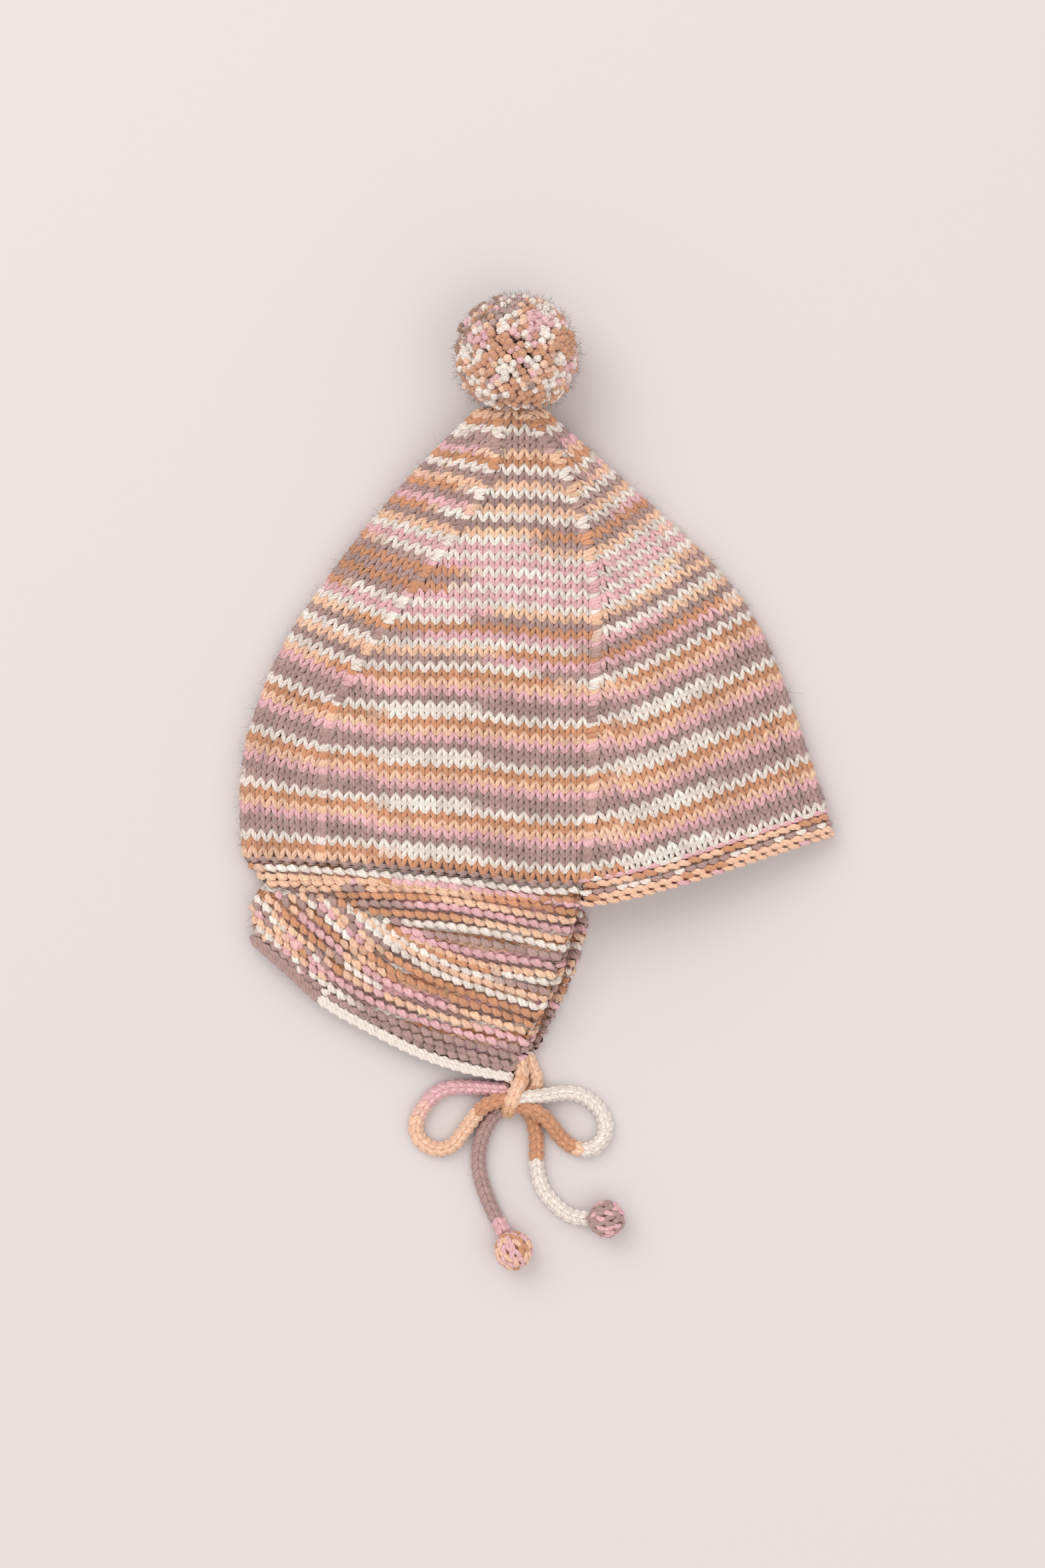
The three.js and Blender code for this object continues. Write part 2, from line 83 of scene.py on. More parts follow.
def yarn_material(name, plies, ply_depth, fluff):
    """Knitting yarn: dye from the stitches, twisted plies about a millimetre apart, short fibres."""
    material = bpy.data.materials.new(name)
    material.use_nodes = True
    tree = material.node_tree
    tree.nodes.clear()
    dye = add_node(tree, "ShaderNodeAttribute", {"attribute_name": "dye"})
    plied = add_node(tree, "ShaderNodeUVMap", {"uv_map": "Plies"})
    along = add_node(tree, "ShaderNodeSeparateXYZ", links={0: plied.outputs[0]})
    turns = add_node(tree, "ShaderNodeMath", {"operation": "MULTIPLY", 1: plies}, {0: along.outputs[1]})
    phase = add_node(tree, "ShaderNodeMath", {"operation": "ADD"}, {0: turns.outputs[0], 1: along.outputs[0]})
    angle = add_node(tree, "ShaderNodeMath", {"operation": "MULTIPLY", 1: 2 * math.pi}, {0: phase.outputs[0]})
    wave = add_node(tree, "ShaderNodeMath", {"operation": "COSINE"}, {0: angle.outputs[0]})
    place = add_node(tree, "ShaderNodeTexCoord")
    # Fibres are 0.02 mm thick; the noise is drawn at 0.4 mm so that it shows
    fibres = add_node(
        tree, "ShaderNodeTexNoise", {"Scale": 2500.0, "Detail": 3.0, "Roughness": 0.65},
        {"Vector": place.outputs["Object"]},
    )
    # Painted shade: the dye darkens in the valleys between the plies; the flecks are the wool's own uneven
    # tone.
    ply_valley_painted_shade = add_node(
        tree, "ShaderNodeMapRange", {1: -1.0, 2: 0.2, 3: 0.88, 4: 1.0}, {0: wave.outputs[0]},
    )
    fleck = add_node(
        tree, "ShaderNodeMapRange", {1: 0.3, 2: 0.7, 3: 0.95, 4: 1.05}, {0: fibres.outputs["Fac"]},
    )
    shade = add_node(
        tree, "ShaderNodeMath", {"operation": "MULTIPLY"}, {0: ply_valley_painted_shade.outputs[0], 1: fleck.outputs[0]},
    )
    colour = add_node(
        tree, "ShaderNodeVectorMath", {"operation": "SCALE"},
        {0: dye.outputs["Color"], "Scale": shade.outputs[0]},
    )
    height = add_node(
        tree, "ShaderNodeMath", {"operation": "MULTIPLY_ADD", 1: 0.35},
        {0: fibres.outputs["Fac"], 2: wave.outputs[0]},
    )
    bump = add_node(
        tree, "ShaderNodeBump", {"Strength": 0.8, "Distance": ply_depth}, {"Height": height.outputs[0]},
    )
    surface = add_node(
        tree, "ShaderNodeBsdfPrincipled",
        {"Roughness": 0.92, "IOR": 1.45, "Specular IOR Level": 0.15, "Sheen Weight": fluff,
         "Sheen Roughness": 0.5, "Sheen Tint": (1.0, 0.97, 0.94, 1.0)},
        {"Base Color": colour.outputs[0], "Normal": bump.outputs[0]},
    )
    add_node(tree, "ShaderNodeOutputMaterial", links={"Surface": surface.outputs[0]})
    return material


dyed_wool = yarn_material("Dyed wool yarn", plies=5.0, ply_depth=0.00022, fluff=0.35)

cream, mauve, pink = linear("#f9ede4"), linear("#b99a94"), linear("#efbdc2")
peach, caramel = linear("#fbceb0"), linear("#d99d78")
# The dye repeat in the order of the strand, in stitches. Each colour is one dip of the skein.
dye_runs = [(cream, 29.0), (mauve, 33.0), (pink, 20.8), (peach, 21.0), (caramel, 21.0)]
dye_repeat = sum(length for _, length in dye_runs)
random = np.random.default_rng(11)


def dye_at(position):
    """Colour of the strand at a distance along it, in stitches. Neighbouring colours bleed into each
    other over two stitches, and the dye took more deeply in the middle of a run than at its ends."""
    position = np.asarray(position, float)
    ends = np.cumsum([length for _, length in dye_runs])
    marks, dyes = [], []
    for end, (colour, length) in zip(ends, dye_runs):
        for share, depth in ((0.0, 1.06), (0.3, 0.98), (0.5, 0.93), (0.7, 0.98), (1.0, 1.06)):
            marks.append(end - length + 1.0 + share * (length - 2.0))
            dyes.append([min(1.0, channel * depth) for channel in colour[:3]])
    place = np.mod(position, dye_repeat)
    colours = [np.interp(place, marks, [dye[k] for dye in dyes], period=dye_repeat) for k in range(3)]
    patchy = 1 + 0.05 * np.sin(position * 0.9) + 0.04 * np.sin(position * 2.3 + 1)
    patchy = patchy + 0.045 * random.standard_normal(position.shape)
    colours = np.stack(colours, -1) * np.clip(patchy, 0.84, 1.12)[..., None]
    return np.concatenate([np.minimum(colours, 1.0), np.ones(colours.shape[:-1] + (1,))], -1)


def lay_yarn(name, lengths, material=dyed_wool, sides=6, twist=1.9):
    """One piece from many short lengths of yarn. Each length has points, half widths, outward
    directions and a colour. Arrays: (n, rings, 3), (n, rings), (n, rings, 3), (n, 4), in mm."""
    corners, faces, coords, dyes = [], [], [], []
    start = 0
    for paths, widths, outward, colours in lengths:
        count, rings, _ = paths.shape
        ahead = np.gradient(paths, axis=1)
        ahead /= np.linalg.norm(ahead, axis=2, keepdims=True) + 1e-9
        across = np.cross(ahead, outward)
        across /= np.linalg.norm(across, axis=2, keepdims=True) + 1e-9
        up = np.cross(across, ahead)
        turn = 2 * math.pi * (np.arange(sides) + 0.5) / sides
        ring = (
            np.cos(turn)[None, None, :, None] * across[:, :, None]
            + np.sin(turn)[None, None, :, None] * up[:, :, None]
        )
        points = paths[:, :, None] + widths[:, :, None, None] * ring
        points[..., 2] = np.maximum(points[..., 2], 0.05)
        corners.append(points.reshape(-1, 3))
        dyes.append(np.repeat(colours, rings * sides, axis=0))
        along = np.concatenate(
            [np.zeros((count, 1)), np.cumsum(np.linalg.norm(np.diff(paths, axis=1), axis=2), axis=1)], axis=1
        ) / twist
        base = start + np.arange(count)[:, None, None] * rings * sides
        i = np.arange(rings - 1)[None, :, None]
        j = np.arange(sides)[None, None, :]
        near, far = base + i * sides, base + (i + 1) * sides
        quads = np.stack([near + j, near + (j + 1) % sides, far + (j + 1) % sides, far + j], axis=-1)
        faces += quads.reshape(-1, 4).tolist()
        shape = (count, rings - 1, sides)
        u0 = np.broadcast_to(along[:, :-1, None], shape)
        u1 = np.broadcast_to(along[:, 1:, None], shape)
        v0 = np.broadcast_to(j / sides, shape)
        v1 = v0 + 1 / sides
        uv = np.stack([np.stack(pair, -1) for pair in ((u0, v0), (u0, v1), (u1, v1), (u1, v0))], axis=-2)
        coords.append(uv.reshape(-1, 2))
        first = (base[:, 0] + np.arange(sides)[::-1]).reshape(-1, sides)
        last = (base[:, 0] + (rings - 1) * sides + np.arange(sides)).reshape(-1, sides)
        faces += first.tolist() + last.tolist()
        coords.append(np.zeros((2 * count * sides, 2)))
        start += count * rings * sides
    mesh = bpy.data.meshes.new(name)
    mesh.from_pydata(np.vstack(corners) * 0.001, [], faces)
    mesh.attributes.new("dye", "FLOAT_COLOR", "POINT").data.foreach_set("color", np.vstack(dyes).ravel())
    plies = mesh.uv_layers.new(name="Plies")
    plies.data.foreach_set("uv", np.vstack(coords).ravel())
    mesh.shade_smooth()
    mesh.materials.append(material)
    piece = bpy.data.objects.new(name, mesh)
    bpy.context.collection.objects.link(piece)
    return piece


def loose_fibres(name, lengths, count, reach):
    """Ends of wool fibre that stand out from the yarn. Real ones are 0.02 mm thick; they are drawn
    at 0.1 mm so that they show as a soft bloom."""
    middles = np.concatenate([paths[:, paths.shape[1] // 2] for paths, _, _, _ in lengths])
    ways = np.concatenate([outward[:, outward.shape[1] // 2] for _, _, outward, _ in lengths])
    dyes = np.concatenate([colours for _, _, _, colours in lengths])
    chosen = random.integers(0, len(middles), count)
    root = middles[chosen] + random.normal(0, 0.5, (count, 3)) + ways[chosen] * 0.6
    away = ways[chosen] + random.normal(0, 0.75, (count, 3))
    away /= np.linalg.norm(away, axis=1, keepdims=True)
    bend = random.normal(0, 0.5, (count, 3))
    long = reach * (0.5 + random.random((count, 1)))
    paths = np.stack([root, root + away * long * 0.5, root + (away + bend * 0.6) * long], axis=1)
    widths = np.tile(np.array([0.06, 0.05, 0.03]), (count, 1))
    sideways = np.cross(away, np.array([0.31, 0.52, 0.79]))[:, None]
    pale = np.minimum(dyes[chosen] * 0.75 + 0.25, 1.0)
    return lay_yarn(name, [(paths, widths, np.repeat(sideways, 3, axis=1), pale)], sides=3)


def wall_piece(name, node, sunk, material=dyed_wool, dye=None):
    """The body of the fabric under its stitches: the node's own skin, drawn in by the yarn's height.
    Dye is its one colour, for the yarn's own material."""
    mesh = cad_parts[node].data.copy()
    mesh.name = name
    mesh.materials.clear()
    mesh.materials.append(material)
    count = len(mesh.vertices)
    place, normal = np.zeros(count * 3), np.zeros(count * 3)
    mesh.vertices.foreach_get("co", place)
    mesh.vertices.foreach_get("normal", normal)
    place = place.reshape(-1, 3) - normal.reshape(-1, 3) * sunk * 0.001
    mesh.vertices.foreach_set("co", place.ravel())
    if dye is not None:
        shade = mesh.attributes.new("dye", "FLOAT_COLOR", "POINT")
        shade.data.foreach_set("color", np.tile(dye, (count, 1)).ravel())
    mesh.uv_layers.new(name="Plies")
    mesh.shade_smooth()
    piece = bpy.data.objects.new(name, mesh)
    bpy.context.collection.objects.link(piece)
    return piece


# Crown. Plain knitting in the round from the tip down: every stitch is an upside down V of two
# plump legs. Stitches are added along two shaping lines on each layer, marked by little bars.
crown_height, back_reach, front_reach = 174.5, 102.0, 119.0
fold_thickness, loft_thickness, tip_thickness = 9.0, 24.0, 11.0
tip_lift, tip_lift_length = 13.0, 62.0
round_count = 58
stitch_width = 4.35
yarn_width = 2.0
crown_low, crown_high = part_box("crown")
tip_x = crown_low[0] * 1000 + back_reach
tip_y = crown_high[1] * 1000 - 0.02 * crown_height
# Share of the height where each round of the pattern lies, then its back fold, back shaping
# line, front shaping line and front fold, each as shares across and down.
crown_rounds = np.array([
    [-0.02, 0.07, -0.02, 0.03, -0.02, 0.02, -0.02, 0.06, -0.02],
    [0.0, 0.127, 0.0, 0.024, 0.0, 0.059, 0.0, 0.107, 0.0],
    [0.05, 0.195, 0.036, 0.03, 0.047, 0.11, 0.05, 0.166, 0.033],
    [0.1, 0.268, 0.076, 0.04, 0.096, 0.156, 0.1, 0.228, 0.069],
    [0.2, 0.402, 0.156, 0.116, 0.191, 0.219, 0.2, 0.348, 0.139],
    [0.32, 0.552, 0.258, 0.254, 0.306, 0.256, 0.32, 0.488, 0.225],
    [0.44, 0.691, 0.366, 0.405, 0.421, 0.274, 0.439, 0.625, 0.314],
    [0.56, 0.819, 0.477, 0.549, 0.536, 0.266, 0.559, 0.743, 0.414],
    [0.68, 0.918, 0.599, 0.652, 0.651, 0.255, 0.679, 0.831, 0.528],
    [0.8, 0.985, 0.727, 0.679, 0.766, 0.253, 0.799, 0.897, 0.648],
    [0.9, 1.0, 0.839, 0.686, 0.861, 0.24, 0.899, 0.948, 0.75],
    [1.0, 0.99, 0.951, 0.692, 0.957, 0.221, 0.999, 1.0, 0.851],
])


def smooth_line(points, steps=40):
    """Points along the smooth curve through the given ones, and the distance run at each."""
    given = np.array(points, float)
    given = np.vstack([2 * given[0] - given[1], given, 2 * given[-1] - given[-2]])
    part = np.linspace(0, 1, steps, endpoint=False)[:, None]
    stretches = []
    for a, b, c, d in zip(given[:-3], given[1:-2], given[2:-1], given[3:]):
        ta, tb, tc = (max(1e-4, np.linalg.norm(v) ** 0.5) for v in (b - a, c - b, d - c))
        leave = ((b - a) / ta - (c - a) / (ta + tb) + (c - b) / tb) * tb
        arrive = ((c - b) / tb - (d - b) / (tb + tc) + (d - c) / tc) * tb
        bend = 3 * (c - b) - 2 * leave - arrive
        close = 2 * (b - c) + leave + arrive
        stretches.append(b + leave * part + bend * part**2 + close * part**3)
    line = np.vstack(stretches + [given[-2:-1]])
    along = np.r_[0, np.cumsum(np.linalg.norm(np.diff(line, axis=0), axis=1))]
    return line, along


def evenly(line, along, count):
    even = np.linspace(0, along[-1], count)
    return np.stack([np.interp(even, along, line[:, k]) for k in range(line.shape[1])], 1)


lattice_rows = np.arange(-1.0, round_count + 0.6, 0.5)
lattice, round_length, round_down = [], [], []
back_line_at, front_line_at, middle_at = [], [], []
tip_down = crown_rounds[0, 4]
pattern, _ = smooth_line(crown_rounds, 12)
for row in lattice_rows:
    values = [np.interp(row / round_count, pattern[:, 0], pattern[:, k]) for k in range(1, 9)]
    reach = np.array([-back_reach, -crown_height] * 2 + [front_reach, -crown_height] * 2)
    corner = (np.array(values) * reach).reshape(4, 2)
    middle = (corner[1] + corner[2]) / 2
    line, along = smooth_line([corner[0], corner[1], middle, corner[2], corner[3]])
    lattice.append(evenly(line, along, 161))
    round_length.append(along[-1])
    round_down.append((values[3] - tip_down) * crown_height)
    back_line_at.append(along[40])
    front_line_at.append(along[120])
    middle_at.append(np.interp(-6.0, line[:, 0], along))
# The brow's edging carries on below the last round, so the lattice goes on 10 mm further
brow_rows, brow_depth = 3.4, 10.0
edge_line = lattice[-2]
edge_ahead = np.gradient(edge_line, axis=0)
edge_ahead /= np.linalg.norm(edge_ahead, axis=1, keepdims=True)
lattice[-1] = edge_line + np.stack([edge_ahead[:, 1], -edge_ahead[:, 0]], 1) * brow_depth
lattice_rows[-1] = round_count + brow_rows
for known in (round_length, round_down, back_line_at, front_line_at, middle_at):
    known[-1] = known[-2]
lattice = np.array(lattice)


def at_row(row, known):
    return np.interp(row, lattice_rows, known)


fold_radius = fold_thickness / 2
quarter_turn = fold_radius * math.pi / 2


def surface_length(row):
    """Distance over the near layer from the edge of the back fold to the edge of the front one."""
    return at_row(row, round_length) + 2 * (quarter_turn - fold_radius)


def crown_place(row, along, side, depth):
    """Point of the crown's skin, sunk by depth. Along runs over the skin from the back fold's
    edge, side is 1 on the near layer and -1 on the far one."""
    row, along, side, depth = np.broadcast_arrays(row, along, side, depth)
    row = np.clip(row, lattice_rows[0], lattice_rows[-1])
    length = at_row(row, round_length)
    full = surface_length(row)
    front = along > full / 2
    edge = np.where(front, full - along, along)
    angle = np.clip(edge / fold_radius, -math.pi / 2, math.pi / 2)
    on_fold = edge < quarter_turn
    inset = np.where(
        on_fold, fold_radius - (fold_radius - depth) * np.cos(angle), edge - quarter_turn + fold_radius
    )
    share = np.clip(np.where(front, length - inset, inset) / length, 0, 1)
    down = at_row(row, round_down)
    peak = tip_thickness + (loft_thickness - tip_thickness) * np.clip(down / tip_lift_length, 0, 1)
    ease = np.clip((edge - quarter_turn) / 9, 0, 1)
    ease = ease * ease * (3 - 2 * ease)
    loft = fold_thickness + (peak - fold_thickness) * np.sin(math.pi * share) ** 0.8 * ease
    flat = np.where(side > 0, loft - depth, depth)
    round_fold = fold_radius + side * (fold_radius - depth) * np.sin(angle)
    height = np.where(on_fold, round_fold, flat)
    height = height + tip_lift * np.clip(1 - down / tip_lift_length, 0, 1) ** 2
    i = np.clip(np.searchsorted(lattice_rows, row, side="right") - 1, 0, len(lattice_rows) - 2)
    between = (row - lattice_rows[i]) / (lattice_rows[i + 1] - lattice_rows[i])
    j = np.clip((share * 160).astype(int), 0, 159)
    across = share * 160 - j
    flat_place = sum(
        weight[..., None] * lattice[i + di, j + dj]
        for weight, di, dj in (
            ((1 - between) * (1 - across), 0, 0), ((1 - between) * across, 0, 1),
            (between * (1 - across), 1, 0), (between * across, 1, 1),
        )
    )
    return np.stack([flat_place[..., 0] + tip_x, flat_place[..., 1] + tip_y, height], -1)


def crown_outward(row, along, side):
    down = crown_place(row + 0.3, along, side, 1.0) - crown_place(row - 0.3, along, side, 1.0)
    over = crown_place(row, along + 0.8, side, 1.0) - crown_place(row, along - 0.8, side, 1.0)
    outward = np.cross(down, over) * np.asarray(side)[..., None]
    return outward / (np.linalg.norm(outward, axis=-1, keepdims=True) + 1e-9)


BACK, MIDDLE, FRONT = 0, 1, 2


def along_of(panel, offset, row):
    """Distance over the skin of a column of stitches at a row. Columns of the side panels keep
    their distance from the folds, and those of the middle panel theirs from the middle."""
    turn = quarter_turn - fold_radius
    middle = at_row(row, middle_at) + turn + offset
    return np.where(panel == BACK, offset, np.where(panel == FRONT, surface_length(row) - offset, middle))


def round_stitches(row):
    """Panel, offset and width of every stitch on one layer of a round, from the back to the front."""
    turn = quarter_turn - fold_radius
    back_line, front_line = at_row(row, back_line_at) + turn, at_row(row, front_line_at) + turn
    middle, full = at_row(row, middle_at) + turn, surface_length(row)
    stitches = []
    for panel, width in ((BACK, back_line), (FRONT, full - front_line)):
        count = max(1, math.ceil(width / stitch_width - 0.25))
        edges = [k * stitch_width for k in range(count)] + [width]
        found = [(panel, (a + b) / 2, b - a) for a, b in zip(edges, edges[1:])]
        if panel == BACK:
            stitches += found
            low, high = back_line - middle, front_line - middle
            first = math.floor(low / stitch_width + 0.25)
            last = math.ceil(high / stitch_width - 0.25)
            if last - first < 2:
                count = max(1, round((high - low) / stitch_width))
                marks = list(np.linspace(low, high, count + 1))
            else:
                marks = [low] + [k * stitch_width for k in range(first + 1, last)] + [high]
            stitches += [(MIDDLE, (a + b) / 2, b - a) for a, b in zip(marks, marks[1:])]
        else:
            stitches += found[::-1]
    return stitches


# A leg of a stitch at five points down it: rows down, share of a stitch across, height, half width
leg_rows = np.array([-0.40, 0.05, 0.55, 1.05, 1.46])
leg_spread = np.array([0.03, 0.13, 0.265, 0.39, 0.47])
leg_height = np.array([0.0, 0.8, 1.0, 0.6, -0.7])
leg_width = np.array([0.45, 0.82, 1.0, 0.92, 0.42]) * yarn_width * 0.525


def stitch_legs(rows, panels, offsets, widths, sides, colours):
    """Both legs of many plain stitches, as lengths for lay_yarn."""
    legs = []
    for hand in (-1, 1):
        jitter = random.normal(0, 0.05, (len(rows), 1))
        row = rows[:, None] + leg_rows + jitter * 0.6
        lean = np.where(panels == FRONT, -1, 1)[:, None] * hand
        offset = offsets[:, None] + lean * leg_spread * widths[:, None] + jitter
        along = along_of(panels[:, None], offset, row)
        side = np.broadcast_to(sides[:, None], row.shape)
        place = crown_place(row, along, side, 1.15)
        outward = crown_outward(row, along, side)
        place = place + outward * (leg_height + random.normal(0, 0.06, (len(rows), 1)))[..., None] * 0.8
        fat = leg_width * (1 + random.normal(0, 0.05, (len(rows), 1)))
        fat = fat * np.clip(widths[:, None] / stitch_width, 0.6, 1.15)
        legs.append((place, fat, outward, colours))
    return legs


# The strand comes past the hat's middle once a round, so where a round stands in the dye repeat
# follows from the stitches in the rounds between. Counted from the lowest round up.
first_round_stitches, full_round_stitches = 18.5, 104.0
added_each_round, added_low_down, added_fast_from = 2.165, 5.63, 30.34
lowest_round_phase = 114.0
new_ball_round, new_ball_skip = 27, -9.9
round_number = np.arange(round_count)
stitches_in_round = np.minimum(
    first_round_stitches + added_each_round * np.minimum(round_number, added_fast_from)
    + added_low_down * np.maximum(round_number - added_fast_from, 0),
    full_round_stitches,
)
stitches_below = np.cumsum(stitches_in_round[::-1])[::-1] - stitches_in_round[-1]
# The rounds above the one where a new ball was tied in are shifted by what was cut off
round_phase = lowest_round_phase - stitches_below + new_ball_skip * (round_number < new_ball_round)

for side, name in ((1, "crown_near_stitches"), (-1, "crown_far_stitches")):
    rows, panels, offsets, widths, places = [], [], [], [], []
    for row in range(round_count):
        stitches = round_stitches(row)
        middle, full = float(along_of(MIDDLE, 0.0, row)), float(surface_length(row))
        for panel, offset, width in stitches:
            rows.append(row)
            panels.append(panel)
            offsets.append(offset)
            widths.append(width)
            # The strand runs round the front fold onto the far layer and back to the back fold
            place = float(along_of(panel, offset, row))
            place = place if side > 0 else 2 * full - place
            places.append(round_phase[row] + (place - middle) / stitch_width)
    rows, panels, offsets = np.array(rows, float), np.array(panels), np.array(offsets)
    widths, places = np.array(widths), np.array(places)
    colours = dye_at(places + random.normal(0, 0.4, len(rows)))
    sides = np.full(len(rows), side)
    legs = stitch_legs(rows, panels, offsets, widths, sides, colours)
    piece = lay_yarn(name, legs, sides=5)
    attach(piece, "root")
    piece = loose_fibres(name.replace("stitches", "fibres"), legs, 3500 if side > 0 else 1500, 2.2)
    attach(piece, "root")

# The bars that mark the added stitches, one every second round on each shaping line
bars = []
for side in (1, -1):
    for line_at, first, last in ((back_line_at, 3, 38), (front_line_at, 2, 41)):
        rows = np.arange(first, last, 2.0)
        middle = at_row(rows, line_at) + quarter_turn - fold_radius
        swing = np.array([-0.52, -0.3, 0.0, 0.3, 0.52]) * stitch_width
        row = rows[:, None] + 0.35 + np.array([0.1, 0, -0.05, 0, 0.1])
        along = middle[:, None] + swing
        place = crown_place(row, along, side, 1.15)
        outward = crown_outward(row, along, np.full(row.shape, side))
        place = place + outward * np.array([0.2, 1.8, 2.3, 1.8, 0.2])[None, :, None] * 0.85
        fat = np.tile(np.array([0.5, 0.95, 1.1, 0.95, 0.5]) * yarn_width * 0.5, (len(rows), 1))
        shift = (middle - at_row(rows, middle_at) - quarter_turn + fold_radius) / stitch_width
        bars.append((place, fat, outward, dye_at(round_phase[rows.astype(int) - 1] + shift)))
    # Where columns of two panels meet, the strand between them closes the line
    for line_at, away in (
        (back_line_at, 0.0), (front_line_at, 0.0), (back_line_at, -1.1), (front_line_at, 1.1),
    ):
        rows = np.arange(round_count, dtype=float)
        middle = at_row(rows, line_at) + quarter_turn - fold_radius + away
        row = rows[:, None] + leg_rows * 0.9 + 0.15
        along = middle[:, None] + np.array([0.0, 0.15, -0.1, 0.15, 0.0])
        place = crown_place(row, along, side, 1.35)
        outward = crown_outward(row, along, np.full(row.shape, side))
        place = place + outward * (leg_height * 0.8)[None, :, None]
        shift = (middle - at_row(rows, middle_at) - quarter_turn + fold_radius) / stitch_width
        bars.append((place, np.tile(leg_width * 1.4, (round_count, 1)), outward, dye_at(round_phase + shift)))
piece = lay_yarn("crown_increase_bars", bars)
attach(piece, "root")


def reverse_material(name, row_pitch=2.98, row_sag=0.0016):
    """Reverse of plain knitting: rows of purl bumps 3 mm apart, a colour of the dye to each row."""
    material = bpy.data.materials.new(name)
    material.use_nodes = True
    tree = material.node_tree
    tree.nodes.clear()
    place = add_node(tree, "ShaderNodeTexCoord")
    scaled = add_node(
        tree, "ShaderNodeVectorMath", {"operation": "SCALE", "Scale": 1000.0}, {0: place.outputs["Object"]},
    )
    spot = add_node(tree, "ShaderNodeSeparateXYZ", links={0: scaled.outputs[0]})
    square = add_node(
        tree, "ShaderNodeMath", {"operation": "MULTIPLY"}, {0: spot.outputs[0], 1: spot.outputs[0]},
    )
    # The rounds rise towards both folds
    sag = add_node(
        tree, "ShaderNodeMath", {"operation": "MULTIPLY_ADD", 1: -row_sag},
        {0: square.outputs[0], 2: spot.outputs[1]},
    )
    row = add_node(tree, "ShaderNodeMath", {"operation": "DIVIDE", 1: row_pitch}, {0: sag.outputs[0]})
    sixth = add_node(tree, "ShaderNodeMath", {"operation": "DIVIDE", 1: 6.0}, {0: row.outputs[0]})
    stripe = add_node(tree, "ShaderNodeMath", {"operation": "FRACT"}, {0: sixth.outputs[0]})
    dyes = add_node(tree, "ShaderNodeValToRGB", links={0: stripe.outputs[0]})
    dyes.color_ramp.interpolation = "CONSTANT"
    for k, colour in enumerate((mauve, mauve, pink, peach, caramel, cream)):
        stop = dyes.color_ramp.elements[k] if k < 2 else dyes.color_ramp.elements.new(k / 6)
        stop.position = k / 6
        stop.color = colour
    down = add_node(tree, "ShaderNodeMath", {"operation": "MULTIPLY", 1: 2 * math.pi}, {0: row.outputs[0]})
    over = add_node(
        tree, "ShaderNodeMath", {"operation": "MULTIPLY", 1: 2 * math.pi / stitch_width},
        {0: spot.outputs[0]},
    )
    rows = add_node(tree, "ShaderNodeMath", {"operation": "SINE"}, {0: down.outputs[0]})
    columns = add_node(tree, "ShaderNodeMath", {"operation": "COSINE"}, {0: over.outputs[0]})
    bumps = add_node(
        tree, "ShaderNodeMath", {"operation": "MULTIPLY"}, {0: rows.outputs[0], 1: columns.outputs[0]},
    )
    # Painted shade: each row's colour darkens between the purl bumps.
    shade = add_node(tree, "ShaderNodeMapRange", {1: -1.0, 2: 0.6, 3: 0.62, 4: 0.95}, {0: bumps.outputs[0]})
    colour = add_node(
        tree, "ShaderNodeVectorMath", {"operation": "SCALE"}, {0: dyes.outputs[0], "Scale": shade.outputs[0]},
    )
    bump = add_node(
        tree, "ShaderNodeBump", {"Strength": 0.9, "Distance": 0.0009}, {"Height": bumps.outputs[0]},
    )
    surface = add_node(
        tree, "ShaderNodeBsdfPrincipled",
        {"Roughness": 0.95, "IOR": 1.45, "Specular IOR Level": 0.1,
         "Sheen Weight": 0.25, "Sheen Roughness": 0.5},
        {"Base Color": colour.outputs[0], "Normal": bump.outputs[0]},
    )
    add_node(tree, "ShaderNodeOutputMaterial", links={"Surface": surface.outputs[0]})
    return material


knitting_reverse = reverse_material("Reverse of the knitting")
crown_wall = wall_piece("crown_wall", "crown", 1.5, knitting_reverse)
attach(crown_wall, "root")
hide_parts("crown")


# Brow edging. Five close rows of purl bumps in the same yarn, worked on the last round from one
# ear flap round the front to the other, so that the brow doesn't roll.
# A purl bump at five points along it: share of a stitch from its middle, height and half width
bump_swing = np.array([-0.62, -0.36, 0.0, 0.36, 0.62])
bump_height = np.array([-1.0, 0.55, 1.1, 0.55, -1.0])
bump_width = np.array([0.55, 0.98, 1.12, 0.98, 0.55]) * yarn_width * 0.5


def brow_bumps(row, arch, colours, shift=0.0, lean=0.0, size=1.0, swing=1.0):
    """A row of purl bumps along the brow on both layers, arched up or down."""
    made = []
    for side in (1, -1):
        front_line = float(at_row(round_count, front_line_at)) + quarter_turn - fold_radius
        full = float(surface_length(row))
        places = np.arange(full - 0.5 * stitch_width - shift * stitch_width, front_line + 1.0, -stitch_width)
        along = places[:, None] + bump_swing * swing * stitch_width
        rows = np.full(along.shape, row) - arch * np.array([-0.35, 0.05, 0.2, 0.05, -0.35])
        rows = rows + lean * bump_swing
        place = crown_place(rows, along, side, 1.2)
        outward = crown_outward(np.minimum(rows, 60.9), along, np.full(along.shape, side))
        place = place + outward * bump_height[None, :, None] * 0.9
        fat = np.tile(bump_width * size, (len(places), 1))
        made.append((place, fat, outward, colours(places, side)))
    return made


def plain_dye(colour, other, share):
    def pick(places, side):
        return np.where(random.random(len(places))[:, None] < share, np.array(other), np.array(colour))
    return pick


